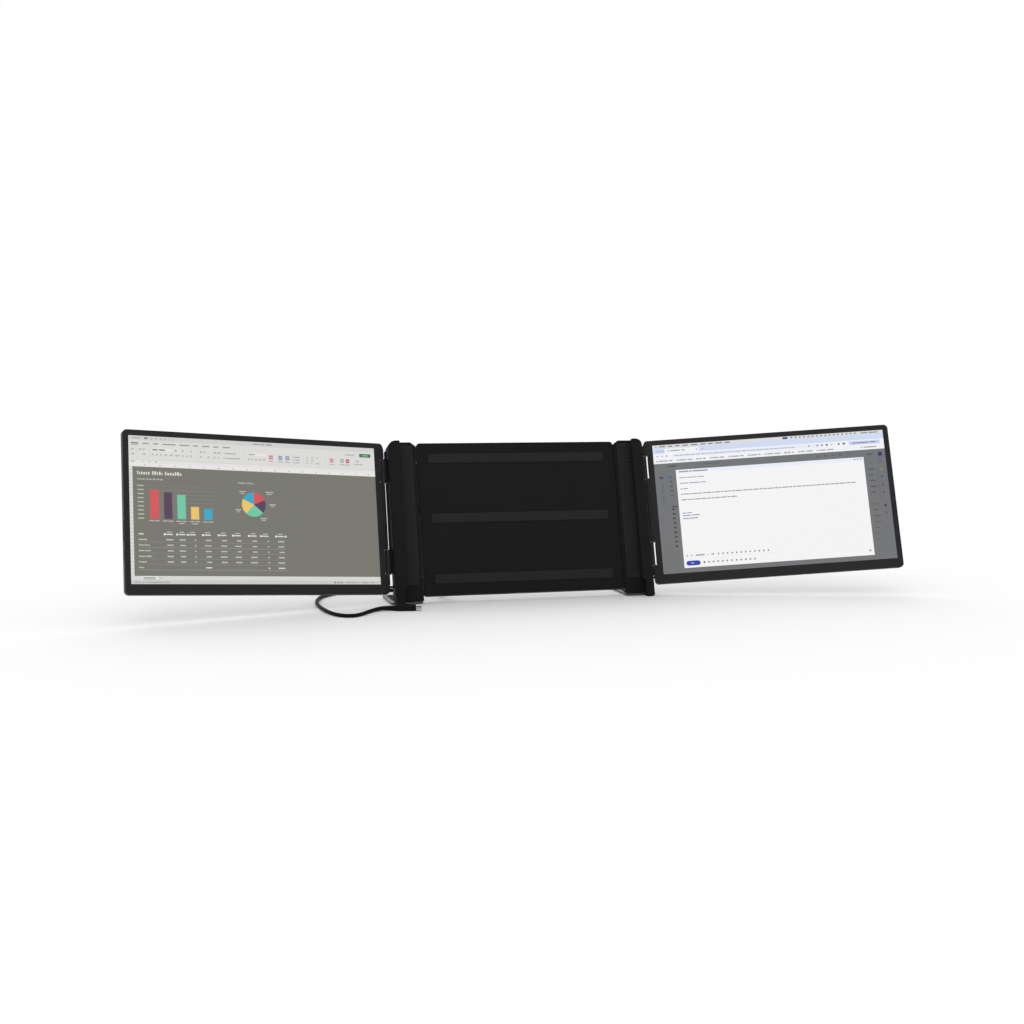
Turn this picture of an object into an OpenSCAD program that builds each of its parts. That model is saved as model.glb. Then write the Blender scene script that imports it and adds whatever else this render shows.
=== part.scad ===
// Laptop screen extender: a telescoping back unit that clamps a laptop's lid,
// with a barrel-hinged side display on each arm, folding feet and a USB-C lead.
// Modelled in the lid's own frame: x across, y backwards from the lid's front face,
// z up along the lid. on_lid() then leans that frame back and stands it on Z = 0.

/* [Side displays] */
// Width of the lit area of each display
display_w = 309.4; // [250:0.1:380]
// Height of the lit area of each display
display_h = 174; // [150:0.1:195]
// Frame width on the hinge side of the display
bezel_hinge = 11.9; // [10:0.1:16]
// Frame width on the outer side
bezel_outer = 6.9; // [6:0.1:14]
// Frame width along the top
bezel_top = 6.7; // [5:0.1:14]
// Frame width along the bottom
bezel_bottom = 12.5; // [8:0.1:20]
// Thickness of a display's housing
screen_t = 8.3; // [7.5:0.1:10]
// Radius of the housing's corners
screen_r = 5.5; // [3:0.5:10]
// Angle by which the displays are turned towards the user
screen_angle = 15; // [0:1:60]
// Height of the displays' lower edge above the laptop's hinge line
screen_lift = 2.8; // [2:0.1:12]

/* [Laptop lid] */
// Width of the lid that the closed arms just grip
lid_w = 317; // [260:1:345]
// Thickest lid that fits between the liners
lid_t = 6.2; // [5:0.1:9]
// Lean of the lid, measured from upright
lean = 16; // [8:1:25]
// Height of the lid's lower edge above the table
stand_h = 12.5; // [11.5:0.1:18]
// Thickness of the rubber liners
liner_t = 0.8; // [0.6:0.1:1.2]

/* [Arms] */
// Width of one arm, from the centre unit's end to its outer wall
arm_w = 37.2; // [36:0.1:48]
// Depth of the arm behind the lid
arm_t = 13; // [12.5:0.1:16]
// Top edge of the arms above the laptop's hinge line
arm_top = 197.5; // [190:0.5:220]
// Wall thickness of the arm's moulding
wall = 2; // [1.6:0.1:2.4]
// Thickness of the side wall of the lid channel
web_w = 11.9; // [11:0.1:14]
// How far the channel's lip reaches over the lid
lip_overlap = 2.7; // [2:0.1:4]
// Thickness of the channel's lip
lip_t = 3.2; // [2.4:0.1:4]
// Lower end of the lip
lip_low = 8.5; // [5:0.5:20]
// Radius of the arm's upper outer corner
arm_r_top = 10; // [5:0.5:12]
// Radius of the arm's lower outer corner
arm_r_low = 6; // [3:0.5:8]
// How far each arm pulls out
arm_travel = 40; // [20:1:44]

/* [Centre unit] */
// Gap between the centre unit and a closed arm
end_gap = 1.6; // [1:0.1:3]
// Top edge of the centre unit
centre_top = 196; // [190:0.5:220]
// Lower edge of the centre unit
centre_low = -1; // [-1:0.5:8]
// Depth of the centre unit
centre_t = 11; // [10.5:0.1:14]
// Radius of its corners
centre_r = 4; // [2:0.5:8]
// Diameter of the guide rods
rod_d = 4.6; // [4:0.1:5]
// Height of the lower rods
rod_low = 24; // [22:0.5:30]
// Height of the upper rods
rod_high = 172; // [160:0.5:174]

/* [Display hinges] */
// Diameter of a hinge barrel
barrel_d = 8.3; // [7:0.1:8.4]
// Length of a hinge barrel
barrel_l = 29; // [20:0.5:36]
// Diameter of a hinge pin
pin_d = 4; // [3:0.1:5]
// Distance of the hinge line from the arm's outer wall
hinge_out = 4.85; // [4.7:0.05:7]
// Distance of the hinge line from the display's edge
hinge_gap = 1.35; // [1:0.05:2]
// Depth of the notch around a barrel
notch_in = 5.3; // [4.5:0.1:6]
// Lower barrel's distance from the display's lower edge
hinge_low = 26.6; // [20:0.1:40]
// Upper barrel's distance from the display's upper edge
hinge_high = 20.8; // [18:0.1:40]

/* [Feet] */
// Depth of a foot plate on the table
foot_l = 69; // [50:1:90]
// Overhang of a foot plate past the arm's outer wall
foot_out = 4.8; // [0:0.1:6]
// Thickness of a foot plate
foot_t = 2.2; // [1.8:0.1:2.4]
// Radius of its corners
foot_r = 6; // [2:0.5:10]
// Height of the foot's hinge line above the table
foot_axis_up = 7; // [7:0.1:8]

/* [Lead] */
// Diameter of the lead
cord_d = 4.5; // [4.2:0.1:4.6]
// Length of the plug's body
plug_l = 24; // [20:1:30]
// Width of the plug's body
plug_w = 11.6; // [10:0.1:13]
// Thickness of the plug's body
plug_t = 6.8; // [6:0.1:7.6]

/* [Hidden] */
$fn = 48;
far = 400;
slip = 0.2;         // clearance round a part that slides through a wall
fit = 0.05;         // radial running clearance of rods and pins
grip = 0.02;        // radial clearance of a pressed rod or screw
screw_r = 1.2;      // radius of a housing screw's shank
screw_head_r = 2.4; // radius of its head

// lid channel and arm, from the centre outwards and from the front backwards
lid_half = lid_w / 2;
web_x = lid_half + liner_t;
lip_x = lid_half - lip_overlap;
arm_out = web_x + web_w;
arm_in = arm_out - arm_w;
lip_back = -liner_t;
lip_front = lip_back - lip_t;
arm_front = lid_t + liner_t;
arm_back = arm_front + arm_t;
cover_t = wall;
seam_y = arm_back - cover_t;
foot_recess = 3.2;                      // recess for the folded foot
low_back = arm_back - foot_recess;
low_seam = low_back - cover_t;
toe_pad_t = 0.8;
arm_clear = toe_pad_t + foot_t + 0.8;   // world height of the arm's underside

// foot hinge: world height is set, the place in depth follows the arm's recessed back
foot_knuckle_r = 3.5;
foot_axis_y = low_back - foot_knuckle_r + 0.05;
foot_axis_z = (foot_axis_up - stand_h + foot_axis_y * sin(lean)) / cos(lean);
foot_axis_depth = foot_axis_y * cos(lean) + foot_axis_z * sin(lean);
foot_pin_r = 1.5;
foot_in = arm_in + 0.5;
foot_front = 3;
knuckle_x0 = arm_in + 12;
knuckle_l = 13;
foot_recess_top = foot_l - (foot_axis_depth - foot_front) + foot_axis_z + 3;
toe_back = foot_front - 0.8;

// centre unit
centre_half = arm_in - end_gap;
centre_back = arm_front + centre_t;
centre_wall = 2;
front_t = 1.8;
front_in = arm_front + front_t;
back_in = centre_back - centre_wall;

// rods, their guides and the pull springs
rod_r = rod_d / 2;
rod_y = front_in + 0.1 + 3.3;
rod_inner = 12;
rod_end = arm_in + 22;
collar_l = 6;
collar_r = 3.2;
guide_in = rod_inner + collar_l + arm_travel + 0.4;
guide_out = centre_half - centre_wall - 0.2;
guide_h = 10;
rod_heights = [rod_low, rod_high];
spring_x = 22;
spring_z = 98;
spring_r = 8;
spring_post_r = 3.8;
strip_t = 0.3;
strip_w = 5;
strip_y = front_in + 0.8;
tongue_in = arm_in - arm_travel - 24;
tongue_z = spring_z + spring_r;
tongue_h = 8;
tongue_t = 4;
tongue_y = rod_y - tongue_t / 2;

// displays
screen_w = display_w + bezel_hinge + bezel_outer;
screen_h = display_h + bezel_top + bezel_bottom;
hinge_x = arm_out + hinge_out;
hinge_y = arm_front + 4.35;
bezel_t = 1.2;
case_wall = 1.8;
back_t = 1.6;
case_in = screen_t - back_t;
panel_edge = 2;                 // how far the panel reaches under the frame
panel_y = bezel_t + 0.05;
panel_t = 1.8;
tray_y = panel_y + panel_t + 0.05;
tray_t = 2;
notch_end = 2;                  // free height above and below a barrel
hinge_starts = [hinge_low, screen_h - hinge_high - barrel_l];
bracket_t = 1.2;
bracket_gap = 0.4;
bracket_l = 36;
pin_r = pin_d / 2;
barrel_r = barrel_d / 2;
leaf_t = 2;
sleeve_z = 9.3;
sleeve_r = 1.3;

// keys on the outer edge of each display
key_w = 2.8;
key_out = 0.5;
key_travel = 0.4;
key_flange = 0.8;
key_gap = 0.1;                  // clearance between a pressed key's flange and the wall
rocker_gap = 0.4;
rocker_flange_l = 8;
menu_z = 40;
menu_l = 12;
rocker_z = 62;
rocker_l = 24;

// screws of the centre unit, from its ends
outer_spot_in = 14.4;
low_spot_in = 66.4;

// lead and power socket, from the left end of the centre unit
cord_in = 32.4;
cord_x = cord_in - centre_half;
gland_z = 9;
gland_l = 20;
gland_r = 4;
socket_in = 51.4;
socket_x = socket_in - centre_half;
socket_z = 9;
cord_r = cord_d / 2;
cord_lie = 2.3;
tail_l = 9;
plug_pos = [cord_x - 86, -36.5, plug_t / 2];
plug_turn = -9;
tip_l = 6.6;
// route of the lead's centre line from the strain relief to the plug's tail
cord_route = [
  [-100, 39, 10.7], [-100, 48, 8.1], [-100.5, 58, 5.5], [-102, 68, 3.6], [-105, 78, 2.6],
  [-111, 89, 2.3], [-121, 99, 2.3], [-135, 107, 2.3], [-152, 112, 2.3], [-171, 114.5, 2.3],
  [-191, 115, 2.3], [-210, 112, 2.3], [-227, 105.5, 2.3], [-241.5, 95, 2.3], [-252.5, 80, 2.3],
  [-260, 60, 2.3], [-264.5, 36, 2.3], [-265.6, 10, 2.3], [-264, -14, 2.3], [-260.5, -37, 2.3],
  [-255, -57, 2.3], [-246.5, -70, 2.3], [-235, -73.5, 2.3], [-224.5, -66, 2.3], [-214, -52, 2.4],
  [-203.5, -40.5, 2.8], [-194, -35.6, 3.3], [-186, -36.5, 3.4]];

// ---------- frames ----------
module left() { mirror([1, 0, 0]) children(); }

// lid frame, leaned back and stood on the table
module on_lid() { translate([0, 0, stand_h]) rotate([-lean, 0, 0]) children(); }

// world shapes seen from inside the lid frame
module in_world() { rotate([lean, 0, 0]) translate([0, 0, -stand_h]) children(); }

// display frame: x from the hinge-side edge outwards, y from the front face backwards
module on_screen() {
  on_lid() translate([hinge_x, hinge_y, screen_lift]) rotate([0, 0, -screen_angle])
    translate([hinge_gap, -screen_t / 2, 0]) children();
}

// everything above a world height
module above(height) { in_world() translate([-far, -far, height]) cube(2 * far); }

// a flat outline drawn in x and z, from depth y0 to y0 + t
module slab(y0, t) { translate([0, y0 + t, 0]) rotate([90, 0, 0]) linear_extrude(t) children(); }

// a profile drawn in y and z, from x0 over a length l
module across(x0, l) { translate([x0, 0, 0]) rotate([90, 0, 90]) linear_extrude(l) children(); }

// a round bar along x
module bar(x0, l, y, z, r) { translate([x0, y, z]) rotate([0, 90, 0]) cylinder(h = l, r = r); }

// a round bar along y
module peg(x, z, y0, l, r) { translate([x, y0, z]) rotate([-90, 0, 0]) cylinder(h = l, r = r); }

module round_rect(x0, z0, w, h, r) {
  translate([x0 + r, z0]) square([w - 2 * r, h]);
  translate([x0, z0 + r]) square([w, h - 2 * r]);
  for (x = [x0 + r, x0 + w - r], z = [z0 + r, z0 + h - r]) translate([x, z]) circle(r);
}

// what is cut off a square corner to leave radius r; the corner points to +x +y
module corner_cut(r) { difference() { square(r + 1); circle(r); } }

// ---------- arm ----------
// seen from the front, drawn in x and z, moved inwards by i
module arm_outline(i) {
  low = -13.5;
  r_top = arm_r_top - i;
  r_low = arm_r_low - i;
  difference() {
    translate([arm_in + i, low + i]) square([arm_w - 2 * i, arm_top - low - 2 * i]);
    translate([arm_out - arm_r_top, arm_top - arm_r_top]) corner_cut(r_top);
    translate([arm_out - arm_r_low, low + arm_r_low]) mirror([0, 1]) corner_cut(r_low);
    translate([arm_in + i, arm_top - i]) polygon([[-1, -6], [-1, 1], [7, 1], [6.5, 0], [0, -5]]);
  }
}

// lip in front of the lid, rounded at its lower end
module lip_outline() {
  l = web_x - lip_x + 1;
  r = web_x - lip_x;
  difference() {
    translate([lip_x, lip_low]) square([l, arm_top - lip_low]);
    translate([lip_x + r, lip_low + r]) rotate(180) corner_cut(r);
    translate([lip_x + 1.5, arm_top - 1.5]) mirror([1, 0]) corner_cut(1.5);
  }
}

// seen from above, drawn in x and y: channel wall and back box
module arm_plan() {
  r = 3;
  difference() {
    union() {
      translate([arm_in, arm_front]) square([arm_w, seam_y - arm_front]);
      translate([web_x, lip_front]) square([web_w, arm_front - lip_front + 1]);
    }
    translate([arm_out - r, lip_front + r]) mirror([0, 1]) corner_cut(r);
  }
}

// hollow of the arm, open at the back
module arm_hollow() {
  translate([arm_in + wall, arm_front + wall])
    square([arm_w - 2 * wall, far]);
  translate([web_x + wall, lip_front + wall]) square([web_w - 2 * wall, far]);
}

// everything behind the seam line; the seam steps forward beside the folded foot
module behind_seam(offset_y) {
  y1 = low_seam + offset_y;
  y2 = seam_y + offset_y;
  z1 = foot_recess_top - offset_y * tan(22.5);
  across(arm_in - 5, arm_w + 10)
    polygon([[y1, -30], [y1, z1], [y2, z1 + y2 - y1], [y2, far], [far, far], [far, -30]]);
}

module knuckle_room() {
  r = foot_knuckle_r + 0.8;
  bar(knuckle_x0 - 0.4, knuckle_l + 0.8, foot_axis_y, foot_axis_z, r);
}

// below and behind the foot's hinge line, outside the hinge barrel
module below_hinge() {
  difference() {
    translate([arm_in - 5, foot_axis_y, foot_axis_z - 20]) cube([arm_w + 10, 20, 20]);
    bar(arm_in - 6, arm_w + 12, foot_axis_y, foot_axis_z, foot_knuckle_r);
  }
}

screw_spots = [[arm_in + 9, 187], [arm_in + 22, 187], [arm_in + 9, 108], [arm_in + 22, 108]];
low_screw = [arm_in + 15, 42];

module boss(spot, y0, y1) { peg(spot[0], spot[1], y0, y1 - y0, 2.8); }

module arm_shell() {
  intersection() {
    union() {
      translate([0, 0, -20]) linear_extrude(far) arm_plan();
      slab(lip_front, lip_t) intersection() { lip_outline(); arm_outline(0); }
    }
    slab(lip_front - 1, far) arm_outline(0);
    union() {
      above(arm_clear);
      intersection() {
        above(toe_pad_t);
        in_world() translate([arm_out - web_w, -far, 0]) cube([far, far + toe_back, far]);
      }
    }
  }
}

module arm_cavity() {
  intersection() {
    translate([0, 0, -20]) linear_extrude(far) arm_hollow();
    slab(lip_front, far) arm_outline(wall);
    above(arm_clear + wall);
  }
}

module arm_inside_parts() {
  for (spot = screw_spots) boss(spot, arm_front + 1, seam_y);
  boss(low_screw, arm_front + 1, low_seam);
  // sockets that hold the rods
  for (z = rod_heights)
    translate([arm_in + 1, arm_front + 1, z - 4.5]) cube([rod_end - arm_in, rod_y + 2.9 - arm_front - 1, 9]);
  // stiffening ribs across the channel wall
  for (z = [66, 82, 98, 114, 130])
    translate([web_x + 1, lip_front + 1, z]) cube([web_w - 2, arm_front + wall - lip_front - 1, 1.6]);
  // shelf rib behind the channel
  translate([web_x - 1, arm_front + 1, 62]) cube([2, seam_y - arm_front - 1.1, 74]);
}

module arm_tongue() {
  translate([tongue_in, tongue_y, tongue_z]) cube([arm_in - tongue_in + 1, tongue_t, tongue_h]);
}

module barrel_slots() {
  for (z = hinge_starts)
    translate([arm_out - wall - 1, hinge_y - leaf_t / 2 - slip - 0.4, screen_lift + z - slip])
      cube([wall + 2, leaf_t + 2 * slip + 0.8, barrel_l + 2 * slip]);
}

module leaf_screw_spots() {
  for (z = hinge_starts, k = [0.22, 0.78])
    translate([arm_out - wall, 3.6, screen_lift + z + barrel_l * k]) children();
}

module arm_frame() {
  color("#202020") on_lid() difference() {
    union() {
      difference() {
        arm_shell();
        arm_cavity();
      }
      arm_inside_parts();
      arm_tongue();
      intersection() {
        bar(arm_in, arm_w, foot_axis_y, foot_axis_z, foot_knuckle_r);
        slab(0, far) arm_outline(0);
      }
    }
    difference() {
      behind_seam(0);
      bar(arm_in - 6, arm_w + 12, foot_axis_y, foot_axis_z, foot_knuckle_r);
    }
    below_hinge();
    knuckle_room();
    bar(arm_in - 1, arm_w - 0.6, foot_axis_y, foot_axis_z, foot_pin_r + grip);
    for (z = rod_heights) bar(arm_in - 1, rod_end - arm_in + 1, rod_y, z, rod_r + grip);
    barrel_slots();
    for (spot = screw_spots) peg(spot[0], spot[1], seam_y - 8, 10, screw_r + grip);
    peg(low_screw[0], low_screw[1], low_seam - 4.5, 6, screw_r + grip);
    leaf_screw_spots() rotate([0, 90, 0]) cylinder(h = 1.6, r = screw_r + grip);
    bar(arm_out - wall - 1, wall + 2, hinge_y, screen_lift + sleeve_z, sleeve_r + 0.05);
  }
}

module arm_cover() {
  color("#1d1d1d") on_lid() difference() {
    intersection() {
      behind_seam(0);
      slab(0, far) arm_outline(0);
      above(arm_clear);
      translate([0, -far, foot_axis_z + foot_knuckle_r + 0.1]) cube(2 * far);
    }
    behind_seam(cover_t);
    for (spot = screw_spots) screw_hole(spot, seam_y);
    screw_hole(low_screw, low_seam);
  }
}

module screw_hole(spot, y) {
  peg(spot[0], spot[1], y - 1, cover_t + 2, screw_r + 0.15);
  peg(spot[0], spot[1], y + cover_t - 1.4, 2, screw_head_r + 0.15);
}

module cover_screw(spot, y, l) {
  difference() {
    union() {
      peg(spot[0], spot[1], y + cover_t - 1.4, 1.2, screw_head_r);
      peg(spot[0], spot[1], y + cover_t - 1.4 - l, l, screw_r);
    }
    peg(spot[0], spot[1], y + cover_t - 0.9, 1, 0.9);
  }
}

module arm_screws() {
  color("#3a3a3c") on_lid() {
    for (spot = screw_spots) cover_screw(spot, seam_y, 7);
    cover_screw(low_screw, low_seam, 4.5);
    leaf_screw_spots() translate([-leaf_t, 0, 0]) rotate([0, 90, 0]) {
      translate([0, 0, -1]) cylinder(h = 1, r = 2);
      cylinder(h = leaf_t + 1.4, r = screw_r);
    }
  }
}

// rubber channel that the lid's edge sits in
module lid_liner() {
  z0 = lip_low + 5;
  l = arm_top - 4 - z0;
  color("#2b2b2b") on_lid() difference() {
    translate([0, 0, z0]) linear_extrude(l) {
      translate([arm_in + 4, lid_t]) square([web_x - arm_in - 4, liner_t]);
      translate([lid_half, lip_back]) square([liner_t, lid_t + liner_t + 0.4]);
      translate([lip_x + 0.5, lip_back]) square([web_x - lip_x - 0.5, liner_t]);
    }
    // shallow grip grooves across the face behind the lid
    for (i = [0:34]) translate([arm_in + 5, lid_t - 1, z0 + 4 + 5 * i]) cube([web_x - arm_in - 8, 1.3, 1.2]);
  }
}

module rod(z) {
  color("#b9bcc0") on_lid() {
    bar(rod_inner, rod_end - rod_inner, rod_y, z, rod_r);
    bar(rod_inner, collar_l, rod_y, z, collar_r);
  }
}

// steel leaf inside the arm with the hinge barrel on its edge
module hinge_barrel(z) {
  z0 = screen_lift + z;
  y0 = 0.2;
  color("#252525") on_lid() difference() {
    union() {
      translate([arm_out - wall - leaf_t, y0, z0]) cube([leaf_t, low_seam - 0.4 - y0, barrel_l]);
      translate([arm_out - wall - 1, hinge_y - leaf_t / 2 - 0.4, z0])
        cube([hinge_out + wall, leaf_t + 0.8, barrel_l]);
      translate([hinge_x, hinge_y, z0]) cylinder(h = barrel_l, r = barrel_r);
    }
    translate([hinge_x, hinge_y, z0 - 1]) cylinder(h = barrel_l + 2, r = pin_r + fit);
    for (k = [0.22, 0.78]) translate([arm_out - wall - leaf_t - 1, 3.6, z0 + barrel_l * k])
      rotate([0, 90, 0]) cylinder(h = leaf_t + 2, r = screw_r + 0.1);
  }
}

// short sleeve that carries the display's cable across the hinge gap
module cable_sleeve() {
  color("#151515") on_lid() {
    bar(arm_out - wall, hinge_out + wall, hinge_y, screen_lift + sleeve_z, sleeve_r);
    translate([hinge_x, hinge_y, screen_lift + sleeve_z]) sphere(r = sleeve_r);
  }
}

module toe_pad() {
  color("#101010") translate([web_x + 1.5, -6.3, 0]) cube([web_w - 6.5, 6.3 + toe_back - 1.2, toe_pad_t]);
}

module foot_pin() {
  color("#8a8c90") on_lid() bar(arm_in + 0.3, arm_w - 2.1, foot_axis_y, foot_axis_z, foot_pin_r);
}

// ---------- foot ----------
module foot_plate() {
  x1 = arm_out + foot_out;
  color("#3a3a3c") difference() {
    union() {
      translate([0, 0, toe_pad_t]) linear_extrude(foot_t)
        round_rect(foot_in, foot_front, x1 - foot_in, foot_l, foot_r);
      bar(knuckle_x0, knuckle_l, foot_axis_depth, foot_axis_up, foot_knuckle_r);
      translate([knuckle_x0, foot_axis_depth - 2.6, toe_pad_t + foot_t - 0.5])
        cube([knuckle_l, 5.2, foot_axis_up - toe_pad_t - foot_t]);
    }
    bar(knuckle_x0 - 1, knuckle_l + 2, foot_axis_depth, foot_axis_up, foot_pin_r + fit);
    translate([0, 0, toe_pad_t + foot_t - 0.6]) linear_extrude(2)
      round_rect(foot_in + 4, foot_axis_depth + 7, x1 - foot_in - 8,
                 foot_l + foot_front - foot_axis_depth - 11, foot_r - 3);
  }
}

module foot_pads() {
  x1 = arm_out + foot_out;
  color("#101010") for (x = [foot_in + 7, x1 - 7], y = [foot_front + 7, foot_front + foot_l - 7])
    translate([x, y, 0]) cylinder(h = toe_pad_t, r = 4);
}

// ---------- display ----------
module notches(x1, end) {
  for (z = hinge_starts) {
    h = barrel_l + 2 * end;
    r = 1;
    difference() {
      translate([-5, z - end]) square([5 + x1, h]);
      translate([x1 - r, z - end + h - r]) corner_cut(r);
      translate([x1 - r, z - end + r]) mirror([0, 1]) corner_cut(r);
    }
  }
}

module screen_outline(i) { round_rect(i, i, screen_w - 2 * i, screen_h - 2 * i, screen_r - i); }

module panel_outline() {
  round_rect(bezel_hinge - panel_edge, bezel_bottom - panel_edge, display_w + 2 * panel_edge,
             display_h + 2 * panel_edge, 0.8);
}

module key_slot(z, l) {
  translate([screen_w - case_wall - 1, screen_t / 2 - key_w / 2 - slip, z - slip])
    cube([case_wall + 2, key_w + 2 * slip, l + 2 * slip]);
}

// outer form of the back, chamfered all round its rear edge
module back_form() {
  c = 1.1;
  r = screen_r;
  y1 = screen_t - c;
  slab(bezel_t, y1 - bezel_t) screen_outline(0);
  across(r, screen_w - 2 * r) polygon([[y1 - 1, 0], [y1, 0], [screen_t, c], [screen_t, screen_h - c],
                                      [y1, screen_h], [y1 - 1, screen_h]]);
  translate([0, 0, r]) linear_extrude(screen_h - 2 * r)
    polygon([[0, y1 - 1], [0, y1], [c, screen_t], [screen_w - c, screen_t], [screen_w, y1],
             [screen_w, y1 - 1]]);
  for (x = [r, screen_w - r], z = [r, screen_h - r]) translate([x, y1, z])
    rotate([-90, 0, 0]) cylinder(h = c, r1 = r, r2 = r - c);
}

module screen_back() {
  color("#242424") on_screen() difference() {
    back_form();
    slab(bezel_t - 1, case_in - bezel_t + 1) difference() {
      screen_outline(case_wall);
      notches(notch_in + back_t, notch_end + back_t);
    }
    slab(-1, screen_t + 2) notches(notch_in, notch_end);
    // slots for the hinge brackets' ears
    for (z = hinge_starts, e = [-bracket_gap - bracket_t, barrel_l + bracket_gap])
      translate([notch_in - 1, screen_t / 2 - 2.5, z + e - slip])
        cube([back_t + 2, case_in - screen_t / 2 + 2.5, bracket_t + 2 * slip]);
    key_slot(menu_z, menu_l);
    key_slot(rocker_z, rocker_l);
    translate([-1, screen_t / 2, sleeve_z]) rotate([0, 90, 0]) cylinder(h = case_wall + 2, r = sleeve_r + 0.5);
    // row of vent slots along the top of the back
    for (i = [0:15]) translate([screen_w / 2 - 60 + 8 * i, case_in - 1, screen_h - 17])
      cube([1.4, back_t + 2, 6]);
    // shallow recessed field in the back
    slab(screen_t - 0.4, 1) round_rect(24, 24, screen_w - 48, screen_h - 60, 8);
  }
}

module bezel() {
  color("#2a2a2a") on_screen() {
    difference() {
      slab(0, bezel_t) screen_outline(0);
      slab(-1, bezel_t + 2) round_rect(bezel_hinge, bezel_bottom, display_w, display_h, 0.6);
      slab(-1, bezel_t + 2) notches(notch_in, notch_end);
    }
    // locating rib that sits inside the back's wall
    slab(bezel_t - 0.2, 1.2) difference() {
      screen_outline(case_wall + 0.15);
      screen_outline(case_wall + 1);
      notches(notch_in + back_t + 1, notch_end + back_t + 0.4);
    }
  }
}

module display() { color("#77776b") on_screen() slab(panel_y, panel_t) panel_outline(); }

module backlight() {
  color("#c9cbce") on_screen() difference() {
    slab(tray_y, tray_t) panel_outline();
    // pressed stiffening panels in the tray
    for (i = [0:3]) slab(tray_y + tray_t - 0.5, 1)
      round_rect(bezel_hinge + 8 + i * display_w / 4, bezel_bottom + 44, display_w / 4 - 16, display_h - 60, 5);
  }
}

module driver_board() {
  y0 = tray_y + tray_t + 0.1;
  color("#1f5a38") on_screen() {
    slab(y0 + 0.3, 0.9) round_rect(110, 18, 130, 26, 1.5);
    for (x = [122, 150, 178, 206]) translate([x, y0, 24]) cube([14, 0.4, 14]);
    // stand-offs moulded to the case carry the board
    for (x = [114, 236], z = [22, 40]) translate([x, 0, z]) slab(y0 + 1.1, case_in - y0 - 1.1) circle(1.5);
  }
}

// steel bracket in the case, with two ears that hold the pin at both ends of the barrel
module hinge_brackets() {
  y0 = case_in - bracket_t;
  color("#6d6f73") on_screen() for (z = hinge_starts) difference() {
    union() {
      translate([notch_in + back_t + 0.2, y0, z - bracket_gap - bracket_t])
        cube([bracket_l, bracket_t, barrel_l + 2 * (bracket_gap + bracket_t)]);
      for (e = [-bracket_gap - bracket_t, barrel_l + bracket_gap]) translate([0, 0, z + e]) {
        translate([-hinge_gap, screen_t / 2, 0]) cylinder(h = bracket_t, r = 3);
        translate([-hinge_gap, screen_t / 2 - 2.2, 0])
          cube([notch_in + back_t + hinge_gap + 2, case_in - screen_t / 2 + 2.2, bracket_t]);
      }
    }
    translate([-hinge_gap, screen_t / 2, z - 3]) cylinder(h = barrel_l + 6, r = pin_r + grip);
    for (x = [16, 32], k = [5, barrel_l - 5]) translate([x, 0, z + k]) slab(0, far) circle(1.1);
  }
}

module hinge_pins() {
  l = barrel_l + 2 * (bracket_gap + bracket_t);
  color("#9a9ca0") on_screen() for (z = hinge_starts)
    translate([-hinge_gap, screen_t / 2, z - bracket_gap - bracket_t]) cylinder(h = l, r = pin_r);
}

module key(z, l, flange_l, gap) {
  x0 = screen_w - case_wall - gap;
  bevel = 0.6;
  color("#303030") on_screen() difference() {
    union() {
      translate([x0 - 0.1, screen_t / 2 - key_w / 2, z]) cube([screen_w + key_out - x0 + 0.1, key_w, l]);
      translate([x0 - key_flange, screen_t / 2 - key_w / 2 - 0.45, z + l / 2 - flange_l / 2])
        cube([key_flange, key_w + 0.9, flange_l]);
    }
    for (side = [0, 1]) translate([screen_w + key_out, screen_t / 2, z + side * l])
      rotate([0, 45, 0]) cube([bevel, key_w + 2, bevel], center = true);
  }
}

module menu_button() { key(menu_z, menu_l, menu_l + 1.6, key_gap); }

module brightness_rocker() { key(rocker_z, rocker_l, rocker_flange_l, rocker_gap); }

// ---------- centre unit ----------
module centre_outline(i) {
  round_rect(-centre_half + i, centre_low + i, 2 * (centre_half - i), centre_top - centre_low - 2 * i,
             centre_r - i);
}

outer_spot = centre_half - outer_spot_in;
low_spot = centre_half - low_spot_in;
centre_spots = [[-outer_spot, 184], [0, 184], [outer_spot, 184], [-outer_spot, 64], [outer_spot, 64],
                [-low_spot, 8], [low_spot, 8]];

module both() {
  children();
  left() children();
}

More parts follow.
